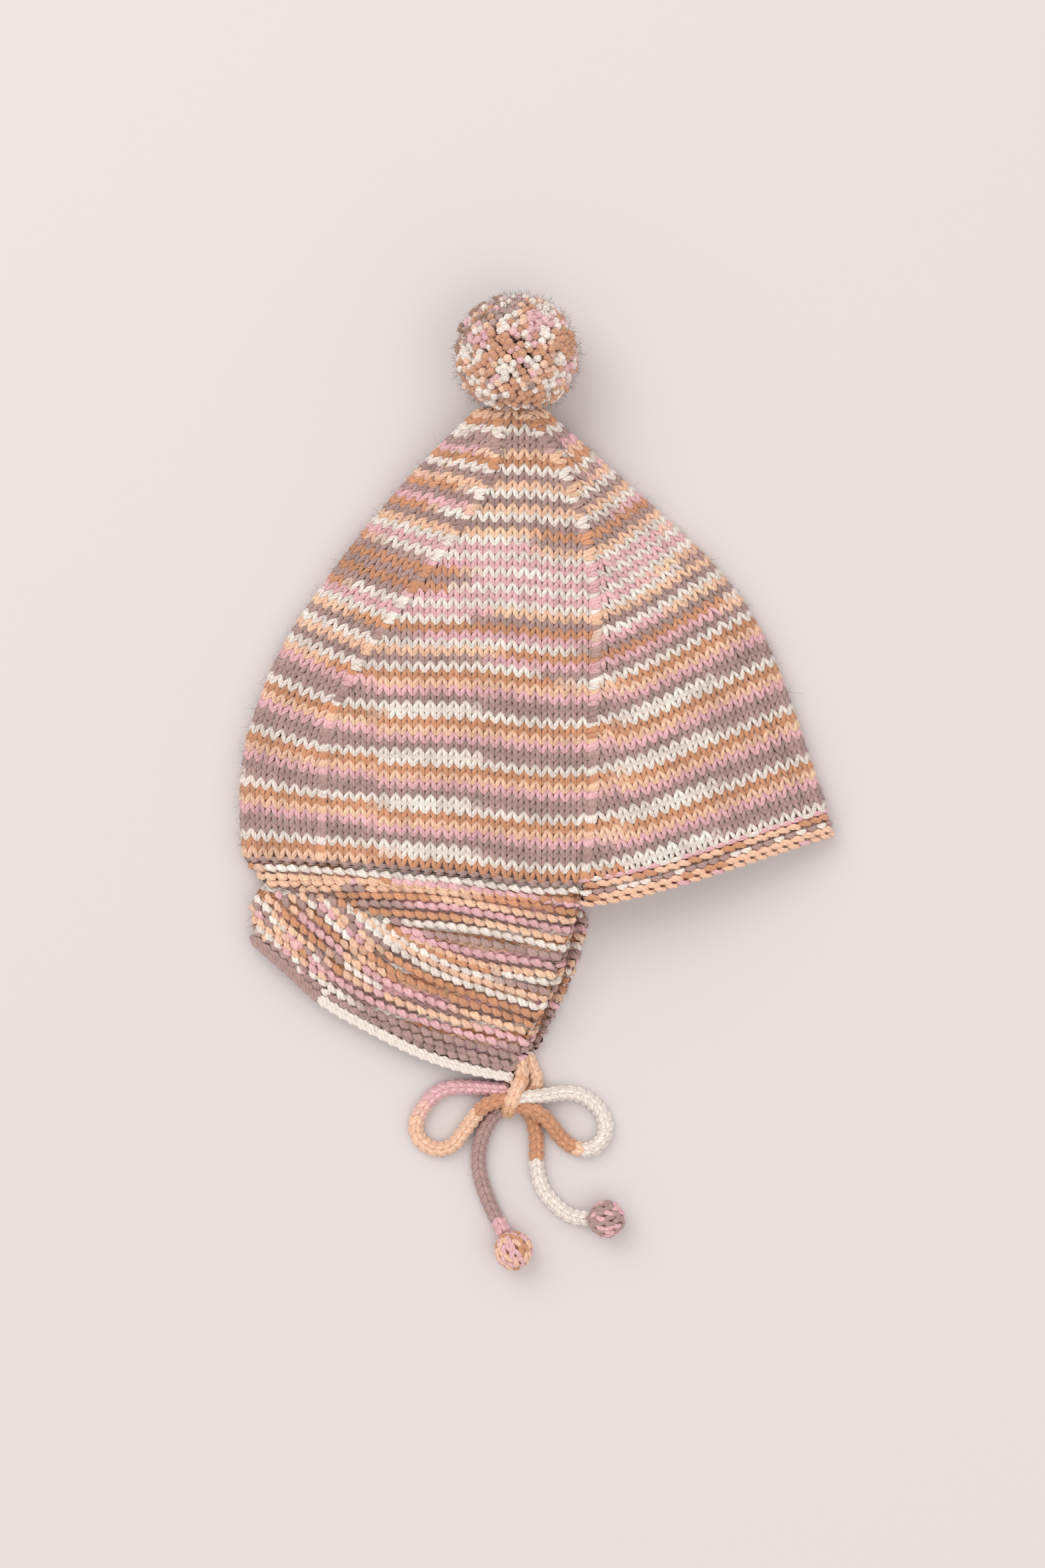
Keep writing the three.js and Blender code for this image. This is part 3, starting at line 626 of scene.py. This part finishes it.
edging = []
edging += brow_bumps(58.2, 0.4, plain_dye(pink, cream, 0.2), size=0.95)
edging += brow_bumps(58.95, 0.5, plain_dye(peach, caramel, 0.3), shift=0.5, lean=0.5, size=1.15, swing=1.08)
edging += brow_bumps(59.75, -0.5, plain_dye(mauve, cream, 0.3), size=1.08, swing=0.8)
edging += brow_bumps(60.55, 0.5, plain_dye(peach, caramel, 0.2), shift=0.5, lean=0.5, size=1.2, swing=1.08)
edging += brow_bumps(61.2, -0.3, plain_dye(peach, pink, 0.2), lean=0.5, size=0.9)
piece = lay_yarn("brow_edge_bumps", edging)
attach(piece, "root")
brow_wall = wall_piece("brow_edge_wall", "brow_edge", 1.3, knitting_reverse)
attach(brow_wall, "root")
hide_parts("brow_edge")


# Neck flap. Garter stitch, every ridge a rope of purl bumps. The upper ridges run along the
# crown, the lower ones along the neck, and they meet at a point in the middle of the flap.
def skin_of(node):
    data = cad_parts[node].data
    return BVHTree.FromPolygons([v.co for v in data.vertices], [tuple(p.vertices) for p in data.polygons])


flap_skin = skin_of("neck_flap")


def drop_on(skin, spots, from_above, sunk):
    """Where straight lines down, or up, from above and below meet a skin, in mm, and its normals."""
    places, outward = [], []
    for x, y in spots:
        start = Vector((x / 1000, y / 1000, 0.1 if from_above else -0.1))
        hit, normal, _, _ = skin.ray_cast(start, Vector((0, 0, -1 if from_above else 1)))
        if hit is None:
            hit, normal, _, _ = skin.find_nearest(Vector((x / 1000, y / 1000, 0.008 if from_above else 0.0)))
        normal = Vector(normal)
        if (normal.z > 0) != from_above:
            normal.z = -normal.z
        normal = (normal + Vector((0, 0, 0.6 if from_above else -0.6))).normalized()
        places.append(np.array(hit) * 1000 - np.array(normal) * sunk)
        outward.append(np.array(normal))
    return np.array(places), np.array(outward)


# Where each ridge starts, at the nape or at the mitre, in mm right of and below the tip, and how
# far it bows below a straight line, as a share of its length
ridge_starts = np.array([
    [0, -101, 166.5, -0.035], [1, -91.8, 176.3, -0.035], [2, -65.8, 180.3, -0.035], [3, -53.3, 186.5, -0.03],
    [4, -41.5, 193.5, -0.015], [4.5, -38, 196.2, 0.02], [5, -40.3, 195.5, 0.05], [6, -52.3, 189.5, 0.065],
    [7, -64.8, 182.5, 0.075], [8, -79.3, 180, 0.08], [9, -96.8, 181.3, 0.085], [10, -99.3, 189.5, 0.085],
    [11, -99.6, 196, 0.082],
])
flap_front = smooth_line(
    [(23.8, 182.5), (20, 198.3), (16.3, 213.5), (10.5, 223), (8, 232), (4.3, 241.3), (1, 247)]
)
# Where each row stands in the dye repeat at the front edge, and which way it runs from there
garter_dyes = [
    (70, -1), (26, -1), (66, 1), (112, -1), (92, 1), (76, -1), (95, 1), (18, -1), (50, 1), (66, 1), (100, -1),
    (5, -1), (34, -1), (86, 1), (24, -1), (118, -1), (108, 1), (90, -1), (78, 1), (60, 1), (44, -1), (34, 1),
    (55, -1),
]


def flap_front_at(share, beyond=0.0):
    """A spot on the near flap's front edge, in mm right of and below the tip."""
    spot = [np.interp(share * flap_front[1][-1], flap_front[1], flap_front[0][:, k]) for k in (0, 1)]
    return np.array(spot) + np.array([beyond, 0.25 * beyond])


# The bumps of garter stitch are plumper, in mm of half width, and their ends dip further
garter_width = np.array([0.55, 1.25, 1.55, 1.25, 0.55])
garter_height = np.array([-1.25, 0.4, 1.0, 0.4, -1.25])


def garter_bumps(line, along, arch, side, position, size=1.0, shift=0.0, swing=0.86):
    """One row of garter bumps, each leaning like the turns of a rope, with its ends tucked in."""
    count = max(1, round(along[-1] / stitch_width))
    centres = (np.arange(count + (shift > 0)) + 0.5 - shift) * along[-1] / count
    runs = centres[:, None] + bump_swing * swing * stitch_width + random.normal(0, 0.1, (len(centres), 1))
    x, y = np.interp(runs, along, line[:, 0]), np.interp(runs, along, line[:, 1])
    ahead = (line[-1] - line[0]) / np.linalg.norm(line[-1] - line[0])
    slant = np.stack(
        [np.interp(runs + 1, along, line[:, k]) - np.interp(runs - 1, along, line[:, k]) for k in (0, 1)], -1
    )
    slant = np.where(np.linalg.norm(slant, axis=-1, keepdims=True) > 0.5, slant, ahead)
    slant /= np.linalg.norm(slant, axis=-1, keepdims=True)
    bow = arch * np.array([0.75, 0.0, -0.3, 0.0, 0.75]) + 0.55 * bump_swing / 0.62
    bow = bow + random.normal(0, 0.12, (len(centres), 1))
    x, y = x - slant[..., 1] * bow, y + slant[..., 0] * bow
    spots = np.stack([tip_x + x, tip_y - y], -1).reshape(-1, 2)
    if side < 0:
        spots[:, 0] += 5.0 * np.clip((spots[:, 0] - tip_x) / 20, 0, 1)
    place, outward = drop_on(flap_skin, spots, side > 0, 1.3)
    place, outward = place.reshape(*x.shape, 3), outward.reshape(*x.shape, 3)
    place = place + outward * garter_height[None, :, None] * 0.85
    fat = np.tile(garter_width * size, (len(centres), 1)) * (1 + random.normal(0, 0.04, (len(centres), 1)))
    start, way = position
    colours = dye_at(start + way * (along[-1] - centres) / stitch_width)
    # Near the nape the short runs of the turned rows put a fleck of another colour here and there
    nape_end = tip_x - 38 - 20 * random.random(len(centres))
    mixed = (spots.reshape(*x.shape, 2)[:, 2, 0] < nape_end) & (line[0][1] > 176)
    flecks = np.array([peach, caramel, pink, cream, mauve, peach, mauve])
    picks = flecks[random.integers(0, 7, len(centres) // 2 + 1)]
    mixed &= random.random(len(centres)) < 0.3
    colours[mixed] = np.repeat(picks, 2, axis=0)[: len(centres)][mixed]
    return place, fat, outward, colours


garter = []
for side in (1, -1):
    # Three rows under the crown, which carry on round the front as the brow edging
    for row, arch, position, shift in (
        (58.35, -1, (62, -1), 0.0), (59.45, 1, (28, -1), 0.5), (60.5, -1, (112, -1), 0.0),
    ):
        reach = np.linspace(3.0 if row < 60 else 7.0, float(at_row(round_count, front_line_at)) + 3.5, 60)
        line = crown_place(np.full(60, row), reach, 1, 1.0)[:, :2] - np.array([tip_x, tip_y])
        line[:, 1] = -line[:, 1]
        along = np.r_[0, np.cumsum(np.linalg.norm(np.diff(line, axis=0), axis=1))]
        garter.append(garter_bumps(line, along, arch, side, position, 1.0, shift))
    for step in range(2, 23):
        ridge = step / 2
        x, y, bow = (np.interp(ridge, ridge_starts[:, 0], ridge_starts[:, k]) for k in (1, 2, 3))
        start, end = np.array([x, y]), flap_front_at((ridge - 0.85) / 9.9)
        gap = end - start
        middle = start + 0.45 * gap + bow * np.array([-gap[1], gap[0]])
        line, along = smooth_line([start, middle, end])
        arch = 1 if step % 2 else -1
        garter.append(garter_bumps(line, along, arch, side, garter_dyes[step], shift=0.5 * (step % 2)))
        if 13 <= step <= 19:
            # The arms start further apart than they end, so short rows fill in between them
            x, y, _ = (np.interp(ridge + 0.25, ridge_starts[:, 0], ridge_starts[:, k]) for k in (1, 2, 3))
            start, end = np.array([x, y]), flap_front_at((ridge - 0.6) / 9.9)
            gap = end - start
            line, along = smooth_line([start, start + 0.45 * gap + bow * np.array([-gap[1], gap[0]]), end])
            kept = along < along[-1] * (0.5 if step in (16, 17) else 0.33)
            garter.append(garter_bumps(line[kept], along[kept], -arch, side, garter_dyes[step - 6], 0.95))
        # The turn at the end of each row stands out as a knob on the flap's front edge
        knob = np.array([flap_front_at((ridge - 0.95 + lift) / 10.1, 0.9) for lift in (-0.25, 0.0, 0.25)])
        knob, reach = smooth_line(knob)
        garter.append(garter_bumps(knob, reach, 0, side, garter_dyes[step], size=1.0, swing=0.6))
        if side > 0:
            # The far flap's inner face shows as a strip beyond the near flap's front edge
            strip = np.array([flap_front_at((ridge - 0.6) / 9.9, beyond) for beyond in (2.6, 4.6, 6.8)])
            strip, reach = smooth_line(strip)
            garter.append(garter_bumps(strip, reach, -arch, 1, garter_dyes[(step + 5) % 23], size=0.95))
for piece in (lay_yarn("neck_flap_garter", garter), loose_fibres("neck_flap_fibres", garter, 1500, 2.0)):
    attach(piece, "root")
flap_wall = wall_piece("neck_flap_wall", "neck_flap", 1.6, knitting_reverse)
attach(flap_wall, "root")
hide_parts("neck_flap")


# Neck edge. A chained cast-off along the neck, in cream yarn that turns mauve towards the nape.
# Each link lies over the next one, and the chain closes the last garter row.
neck_line = [(.978, .374), (.87, .485), (.704, .661), (.535, .778), (.337, .895), (.164, .962), (.005, 1)]
edge_corner = lattice[-2][0]
neck_drop, link_length = 85.5, 4.2
neck_points = [(-a * back_reach, edge_corner[1] - d * neck_drop) for a, d in neck_line]
neck_curve, neck_along = smooth_line(neck_points)
links = []
for side in (1, -1):
    count = int(neck_along[-1] / link_length)
    starts = (np.arange(count) + 0.3) * neck_along[-1] / count
    for hand in (-1, 1):
        run = starts[:, None] + np.array([-0.9, 0.6, 2.2, 3.9, 5.2])
        across = 2.3 + hand * np.array([0.1, 0.6, 1.0, 0.9, 0.4])
        x = np.interp(run, neck_along, neck_curve[:, 0])
        y = np.interp(run, neck_along, neck_curve[:, 1])
        ahead = np.stack([np.gradient(x, axis=1), np.gradient(y, axis=1)], -1)
        ahead /= np.linalg.norm(ahead, axis=-1, keepdims=True) + 1e-9
        share = run / neck_along[-1]
        x, y = x - ahead[..., 1] * across, y + ahead[..., 0] * across
        if side < 0:
            x, y = x + 7 * np.clip(share, 0, 1) ** 2, y + 5.5 * np.clip(share, 0, 1) ** 4
        fold = np.clip(run / fold_radius, 0, math.pi / 2)
        rise = np.sin(fold)
        top = fold_thickness - 0.4 * share - 1.3
        z = fold_radius + side * rise * np.where(side > 0, top - fold_radius, fold_radius - 1.3)
        place = np.stack([tip_x + x, tip_y + y, z], -1)
        outward = np.stack([np.zeros_like(x), np.zeros_like(x), np.full(x.shape, float(side))], -1)
        place = place + outward * np.array([0.35, 0.5, 0.35, 0.0, -0.5])[None, :, None]
        fat = np.tile(np.array([0.55, 1.05, 1.2, 1.05, 0.55]) * yarn_width * 0.56, (count, 1))
        shade = np.where((starts / neck_along[-1] < 0.3)[:, None], np.array(mauve), np.array(cream))
        links.append((place, fat, outward, shade))
piece = lay_yarn("neck_edge_chain", links)
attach(piece, "root")
edge_wall = wall_piece("neck_edge_wall", "neck_edge", 1.0, knitting_reverse)
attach(edge_wall, "root")
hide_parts("neck_edge")


# Ties. Knitted cord 5 mm thick, three columns of stitches round it, ending in knitted balls. They
# are tied in a bow under the chin. Points are in mm right of, above and over the tip's mark.
tie_routes = {
    "bow_loop_left": [
        [-1.0, -254.2, 5.2], [-4.5, -254.0, 4.6], [-8.5, -253.6, 3.6], [-12.5, -253.4, 2.8],
        [-16.5, -253.2, 2.5],
        [-22.75, -253.4, 2.5], [-26.2, -254.4, 2.5], [-29.2, -256.3, 2.5], [-31.6, -258.9, 2.5],
        [-33.7, -261.9, 2.5], [-35.3, -264.9, 2.5], [-36.0, -268.0, 2.5], [-35.6, -271.0, 2.5],
        [-34.0, -273.6, 2.5], [-31.2, -275.7, 2.5], [-28.2, -276.7, 2.5], [-25.0, -276.5, 2.5],
        [-22.0, -275.1, 2.5], [-20.0, -273.0, 2.5], [-18.2, -270.5, 2.6], [-16.6, -268.2, 3.0],
        [-14.6, -265.4, 4.0], [-12.2, -262.2, 5.4], [-9.6, -259.8, 6.6], [-6.0, -258.2, 7.2],
        [-1.0, -257.6, 7.0],
    ],
    "bow_loop_right": [
        [2.0, -256.9, 7.6], [6.0, -256.8, 7.4], [10.0, -256.5, 6.6], [14.0, -256.1, 5.0], [18.0, -255.6, 3.4],
        [21.8, -255.5, 2.6], [25.2, -256.0, 2.5], [28.4, -257.4, 2.5], [31.2, -259.5, 2.5],
        [33.4, -262.1, 2.5], [35.0, -265.0, 2.5], [35.7, -268.4, 2.5], [35.2, -271.6, 2.5],
        [33.4, -274.4, 2.5], [30.8, -276.4, 2.5], [27.6, -277.0, 2.5], [24.2, -276.2, 2.5],
        [21.2, -274.6, 2.5], [18.8, -272.4, 2.8], [16.8, -269.8, 3.6], [14.9, -267.1, 5.0],
        [12.8, -264.5, 6.4], [10.2, -262.4, 7.4], [6.6, -261.0, 7.6], [2.0, -259.4, 6.6],
    ],
    "tie_tail_left": [
        [-0.5, -260.2, 3.2], [-4.0, -261.9, 2.6], [-7.3, -264.7, 2.5], [-9.8, -268.9, 2.5],
        [-11.4, -273.4, 2.5],
        [-12.3, -277.9, 2.5], [-12.4, -282.2, 2.5], [-11.8, -286.4, 2.5], [-10.6, -290.8, 2.5],
        [-9.0, -295.2, 2.5], [-7.0, -299.8, 2.5], [-4.8, -304.2, 2.9], [-2.4, -308.4, 4.2],
    ],
    "tie_tail_right": [
        [3.2, -258.6, 3.0], [5.6, -261.4, 2.6], [7.9, -265.0, 2.5], [9.1, -269.4, 2.5], [9.5, -274.0, 2.5],
        [9.5, -278.6, 2.5], [9.6, -283.2, 2.5], [10.4, -287.8, 2.5], [12.2, -292.2, 2.5],
        [15.0, -296.0, 2.5], [18.4, -299.2, 2.5], [22.2, -301.6, 2.7], [26.0, -302.5, 3.2],
        [29.3, -302.5, 4.2],
    ],
}
cord_diameter = 5.0
cord_stitch = 3.2


def cord_legs(line, along, dye, radius=cord_diameter / 2, stitch=cord_stitch, columns=3):
    """The stitches of a knitted cord, laid round a route from its start to its end."""
    count = int(along[-1] / stitch)
    pitch = along[-1] / count
    lengths = []
    for column in range(columns):
        for hand in (-1, 1):
            run = (np.arange(count)[:, None] + np.array([-0.4, 0.05, 0.5, 1.0, 1.42])) * pitch
            run = np.clip(run, 0.2, along[-1] - 0.2)
            turn = 2 * math.pi / columns
            angle = column * turn + hand * turn * np.array([0.02, 0.13, 0.26, 0.38, 0.44])
            point = np.stack([np.interp(run, along, line[:, k]) for k in range(3)], -1)
            ahead = np.stack([np.interp(run + 0.5, along, line[:, k]) for k in range(3)], -1)
            behind = np.stack([np.interp(run - 0.5, along, line[:, k]) for k in range(3)], -1)
            ahead = ahead - behind
            ahead /= np.linalg.norm(ahead, axis=-1, keepdims=True) + 1e-9
            across = np.cross(ahead, np.array([0.0, 0.0, 1.0]))
            across /= np.linalg.norm(across, axis=-1, keepdims=True) + 1e-9
            up = np.cross(across, ahead)
            outward = np.cos(angle)[None, :, None] * up + np.sin(angle)[None, :, None] * across
            sit = radius - 1.1 + np.array([-0.9, 0.25, 0.45, 0.1, -1.2])
            place = point + outward * sit[None, :, None]
            fat = np.tile(np.array([0.45, 1.0, 1.25, 1.1, 0.45]), (count, 1))
            lengths.append((place, fat, outward, dye((np.arange(count) + 0.5) / count)))
    return lengths


def cord_core(line, along, radius, colour):
    count = max(6, int(along[-1] / 1.5))
    points = evenly(line, along, count)[None]
    outward = np.tile(np.array([0.0, 0.0, 1.0]), (1, count, 1))
    return (points, np.full((1, count), radius), outward, np.array([colour]))


def blend_dye(stops):
    """Colour at a share of the cord, from (share where it begins, colour) pairs."""
    def pick(shares):
        chosen = np.zeros((len(shares), 4))
        for begin, colour in stops:
            chosen[shares >= begin] = colour
        uneven = 1 + 0.04 * random.standard_normal(len(shares))[:, None]
        chosen = chosen * uneven
        chosen[:, 3] = 1
        return chosen
    return pick


tie_dyes = {
    "bow_loop_left": [(0.0, pink), (0.36, linear("#f5c8bb")), (0.44, peach), (0.86, caramel)],
    "bow_loop_right": [(0.0, cream), (0.62, peach), (0.66, caramel)],
    "tie_tail_left": [(0.0, mauve), (0.86, pink)],
    "tie_tail_right": [(0.0, caramel), (0.42, cream)],
}
ties, tie_lines = {}, {}
for name, route in tie_routes.items():
    points = np.array(route) + np.array([tip_x, tip_y, 0])
    line, along = smooth_line(points)
    tie_lines[name] = (line, along)
    dye = blend_dye(tie_dyes[name])
    core = cord_core(line, along, 1.75, tie_dyes[name][0][1])
    piece = lay_yarn(name + "_cord", cord_legs(line, along, dye) + [core])
    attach(piece, "root")
    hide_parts(name)
    ties[name] = piece


# Balls. Each tie ends in a small ball knitted round and drawn together over a scrap of wool. Six
# rings of stitches close towards its end, in the colours that the strand had come to.
balls = {}
for name, tie, diameter, colours in (
    ("end_ball_left", "tie_tail_left", 14.2, (peach, caramel, pink)),
    ("end_ball_right", "tie_tail_right", 13.6, (mauve, mauve, pink)),
):
    low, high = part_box(name)
    centre = np.array((low + high) / 2) * 1000
    line, along = tie_lines[tie]
    axis = line[-1] - line[-30]
    axis[2] = 0
    axis /= np.linalg.norm(axis)
    across = np.array([-axis[1], axis[0], 0])
    up = np.array([0.0, 0.0, 1.0])
    radius = diameter / 2 - 0.95
    lengths = []
    rings = 6
    for ring in range(rings):
        polar = math.pi * (ring + 0.5) / rings
        count = max(3, round(2 * math.pi * radius * math.sin(polar) / 3.6))
        for hand in (-1, 1):
            lean = math.pi / rings * np.array([-0.45, -0.1, 0.3, 0.7, 1.05]) - math.pi / rings / 2
            spread = 2 * math.pi / count * np.array([0.05, 0.18, 0.32, 0.4, 0.46])
            angle = 2 * math.pi * (np.arange(count)[:, None] + 0.5 * (ring % 2)) / count + hand * spread
            tilt = np.clip(np.broadcast_to(polar + lean, angle.shape), 0.05, math.pi - 0.05)
            outward = (
                -np.cos(tilt)[..., None] * axis
                + (np.sin(tilt) * np.cos(angle))[..., None] * across
                + (np.sin(tilt) * np.sin(angle))[..., None] * up
            )
            sit = radius + np.array([0.0, 0.3, 0.3, 0.0, -0.5])
            place = centre + outward * sit[None, :, None]
            fat = np.tile(np.array([0.55, 1.0, 1.15, 1.0, 0.55]), (count, 1))
            shade = np.array(colours)[random.integers(0, 3, count)]
            lengths.append((place, fat, outward, shade))
    balls[tie] = lay_yarn(name + "_knitted", lengths)
    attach(balls[tie], "root")
    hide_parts(name)
    ball_wall = wall_piece(name + "_wall", name, 1.3, dye=colours[1])
    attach(ball_wall, "root")

for name, piece in ties.items():
    line, along = tie_lines[name]


# Knot. The turn of cord that holds the bow, over the crossed strands, and the two short
# lengths of tie that come into it from the tips of the ear flaps.
knot_strands = {
    "wrap": [
        [3.4, -249.6, 4.0], [2.4, -252.6, 8.6], [0.6, -257.0, 9.6], [-0.8, -261.0, 7.6], [-1.2, -262.8, 3.6],
    ],
    "near": [
        [2.9, -242.4, 5.0], [3.5, -245.2, 6.0], [4.0, -248.0, 6.6], [3.6, -251.2, 6.6], [1.8, -255.0, 6.0],
    ],
    "far": [
        [5.9, -240.6, 3.4], [6.6, -243.4, 2.8], [8.0, -246.6, 2.5], [9.2, -249.6, 2.5], [9.2, -252.4, 2.5],
        [7.2, -254.8, 2.6], [2.0, -256.4, 3.4],
    ],
}
lengths = []
for points in knot_strands.values():
    line, along = smooth_line(np.array(points) + np.array([tip_x, tip_y, 0]))
    lengths += cord_legs(line, along, blend_dye([(0.0, peach), (0.6, linear("#e8b58f"))]))
    lengths.append(cord_core(line, along, 1.6, peach))
piece = lay_yarn("bow_knot_cord", lengths)
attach(piece, "root")
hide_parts("bow_knot")


# Pompom. Hundreds of cut ends of the same yarn, bound tight in the middle and clipped to a
# ball. Each end shows as a small round cushion, open at the cut.
pompom_middle = np.array([tip_x + 2.2, tip_y + 20.3, 21.5])
tuft_count, pompom_radius = 880, 21.2
polar = 1 - 2 * (np.arange(tuft_count) + 0.5) / tuft_count
turn = np.arange(tuft_count) * math.pi * (3 - math.sqrt(5))
ring = np.sqrt(1 - polar**2)
outward = np.stack([ring * np.cos(turn), polar, ring * np.sin(turn)], -1)
outward += random.normal(0, 0.018, outward.shape)
outward /= np.linalg.norm(outward, axis=1, keepdims=True)
squash = np.array([1.0, 0.985, 43 / 46])
reach = pompom_radius + random.normal(0, 0.4, tuft_count)
steps = np.array([-7.0, -0.9, 0.0, 0.65, 1.15, 1.42])
lean = random.normal(0, 0.18, (tuft_count, 3))
paths = (outward * squash)[:, None, :] * (reach[:, None] + steps)[..., None]
paths = paths + lean[:, None, :] * np.array([0.0, 0.4, 0.8, 1.0, 1.1, 1.1])[None, :, None]
paths = paths + pompom_middle
paths[..., 2] = np.maximum(paths[..., 2], 0.9)
seat = tip_y + 0.02 * crown_height + 0.3
# Beside and over the tip the ends hang a little past it, and level with it they rest on it
level = (paths[..., 2] < 25.5) & (abs(paths[..., 0] - tip_x) < 15)
paths[..., 1] = np.where(level, np.maximum(paths[..., 1], seat + 1.2), paths[..., 1])
fat = np.array([1.15, 1.5, 1.6, 1.46, 1.0, 0.4]) * (1 + random.normal(0, 0.06, (tuft_count, 1)))
sideways = np.cross(outward, np.array([0.3, 0.5, 0.8]))
sideways /= np.linalg.norm(sideways, axis=1, keepdims=True)
sideways = np.repeat(sideways[:, None], len(steps), axis=1)
# The wool was wound on strand by strand, so its colours lie in small clumps
clumps = random.normal(0, 1, (90, 3))
clumps /= np.linalg.norm(clumps, axis=1, keepdims=True)
clump_dyes = []
for x, y, _ in clumps:
    if x < 0.15 and y < 0.05 or y < -0.5:
        pair = (caramel, peach, caramel, cream)
    elif x < -0.1:
        pair = (pink, cream, peach, mauve)
    elif y > 0.45:
        pair = (pink, cream, peach, pink)
    else:
        pair = (cream, peach, caramel, pink)
    clump_dyes.append(pair[random.integers(0, 4)])
nearest = np.argmax(outward @ clumps.T, axis=1)
stray = random.random(tuft_count) < 0.5
nearest[stray] = random.integers(0, len(clumps), stray.sum())
colours = np.array(clump_dyes)[nearest] * (1 + 0.05 * random.standard_normal((tuft_count, 1)))
colours = np.clip(colours * 0.93 + 0.06, 0, 1)  # cut ends open out and look paler than the strand
colours[:, 3] = 1
pompom = lay_yarn("pompom_tufts", [(paths, fat, sideways, colours)], sides=7)
ends = [(paths[:, -3:], fat, np.repeat(outward[:, None], 3, axis=1), colours)]
for piece in (pompom, loose_fibres("pompom_fibres", ends, 2300, 1.7)):
    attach(piece, "root")
pompom_core = wall_piece("pompom_core", "pompom", 2.4, dye=linear("#e8c6b0"))
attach(pompom_core, "root")
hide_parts("pompom")


# Table, light and camera. A plain pale matt surface under a large soft window light from the
# upper left, with the camera straight above.
def stage_material():
    material = bpy.data.materials.new("Matt pale table")
    material.use_nodes = True
    tree = material.node_tree
    tree.nodes.clear()
    surface = add_node(
        tree, "ShaderNodeBsdfPrincipled",
        {"Base Color": linear("#d5cfcf"), "Roughness": 0.95, "Specular IOR Level": 0.1},
    )
    add_node(tree, "ShaderNodeOutputMaterial", links={"Surface": surface.outputs[0]})
    return material


floor_mesh = bpy.data.meshes.new("table")
floor_mesh.from_pydata([(-3, -3, 0), (3, -3, 0), (3, 3, 0), (-3, 3, 0)], [], [(0, 1, 2, 3)])
floor_mesh.materials.append(stage_material())
table = bpy.data.objects.new("table", floor_mesh)
bpy.context.collection.objects.link(table)
table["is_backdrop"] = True


def soft_light(name, place, aim, size, power, colour):
    lamp = bpy.data.lights.new(name, "AREA")
    lamp.shape = "DISK"
    lamp.size = size
    lamp.energy = power
    lamp.color = colour
    holder = bpy.data.objects.new(name, lamp)
    holder.location = place
    holder.rotation_mode = "QUATERNION"
    holder.rotation_quaternion = (Vector(place) - Vector(aim)).to_track_quat("Z", "Y")
    bpy.context.collection.objects.link(holder)


soft_light("window light", (-0.95, 1.1, 1.6), (0, 0, 0), 1.7, 16, (1.0, 0.985, 0.97))
soft_light("fill light", (0.9, -0.8, 1.9), (0, 0, 0), 2.0, 7.5, (1.0, 0.99, 0.985))
world = bpy.data.worlds.new("Studio")
world.use_nodes = True
world.node_tree.nodes["Background"].inputs[0].default_value = linear("#fbf7f4")
world.node_tree.nodes["Background"].inputs[1].default_value = 0.97
bpy.context.scene.world = world
bpy.context.scene.view_settings.view_transform = "Standard"

camera = bpy.data.cameras.new("camera")
camera.lens = 85
camera.sensor_width = 36
camera_object = bpy.data.objects.new("camera", camera)
view_height = 0.588  # metres of the table along the picture's long side
camera_object.location = (-0.005592, -0.03544, 0.01 + view_height * camera.lens / camera.sensor_width)
bpy.context.collection.objects.link(camera_object)
bpy.context.scene.camera = camera_object

low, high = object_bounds()
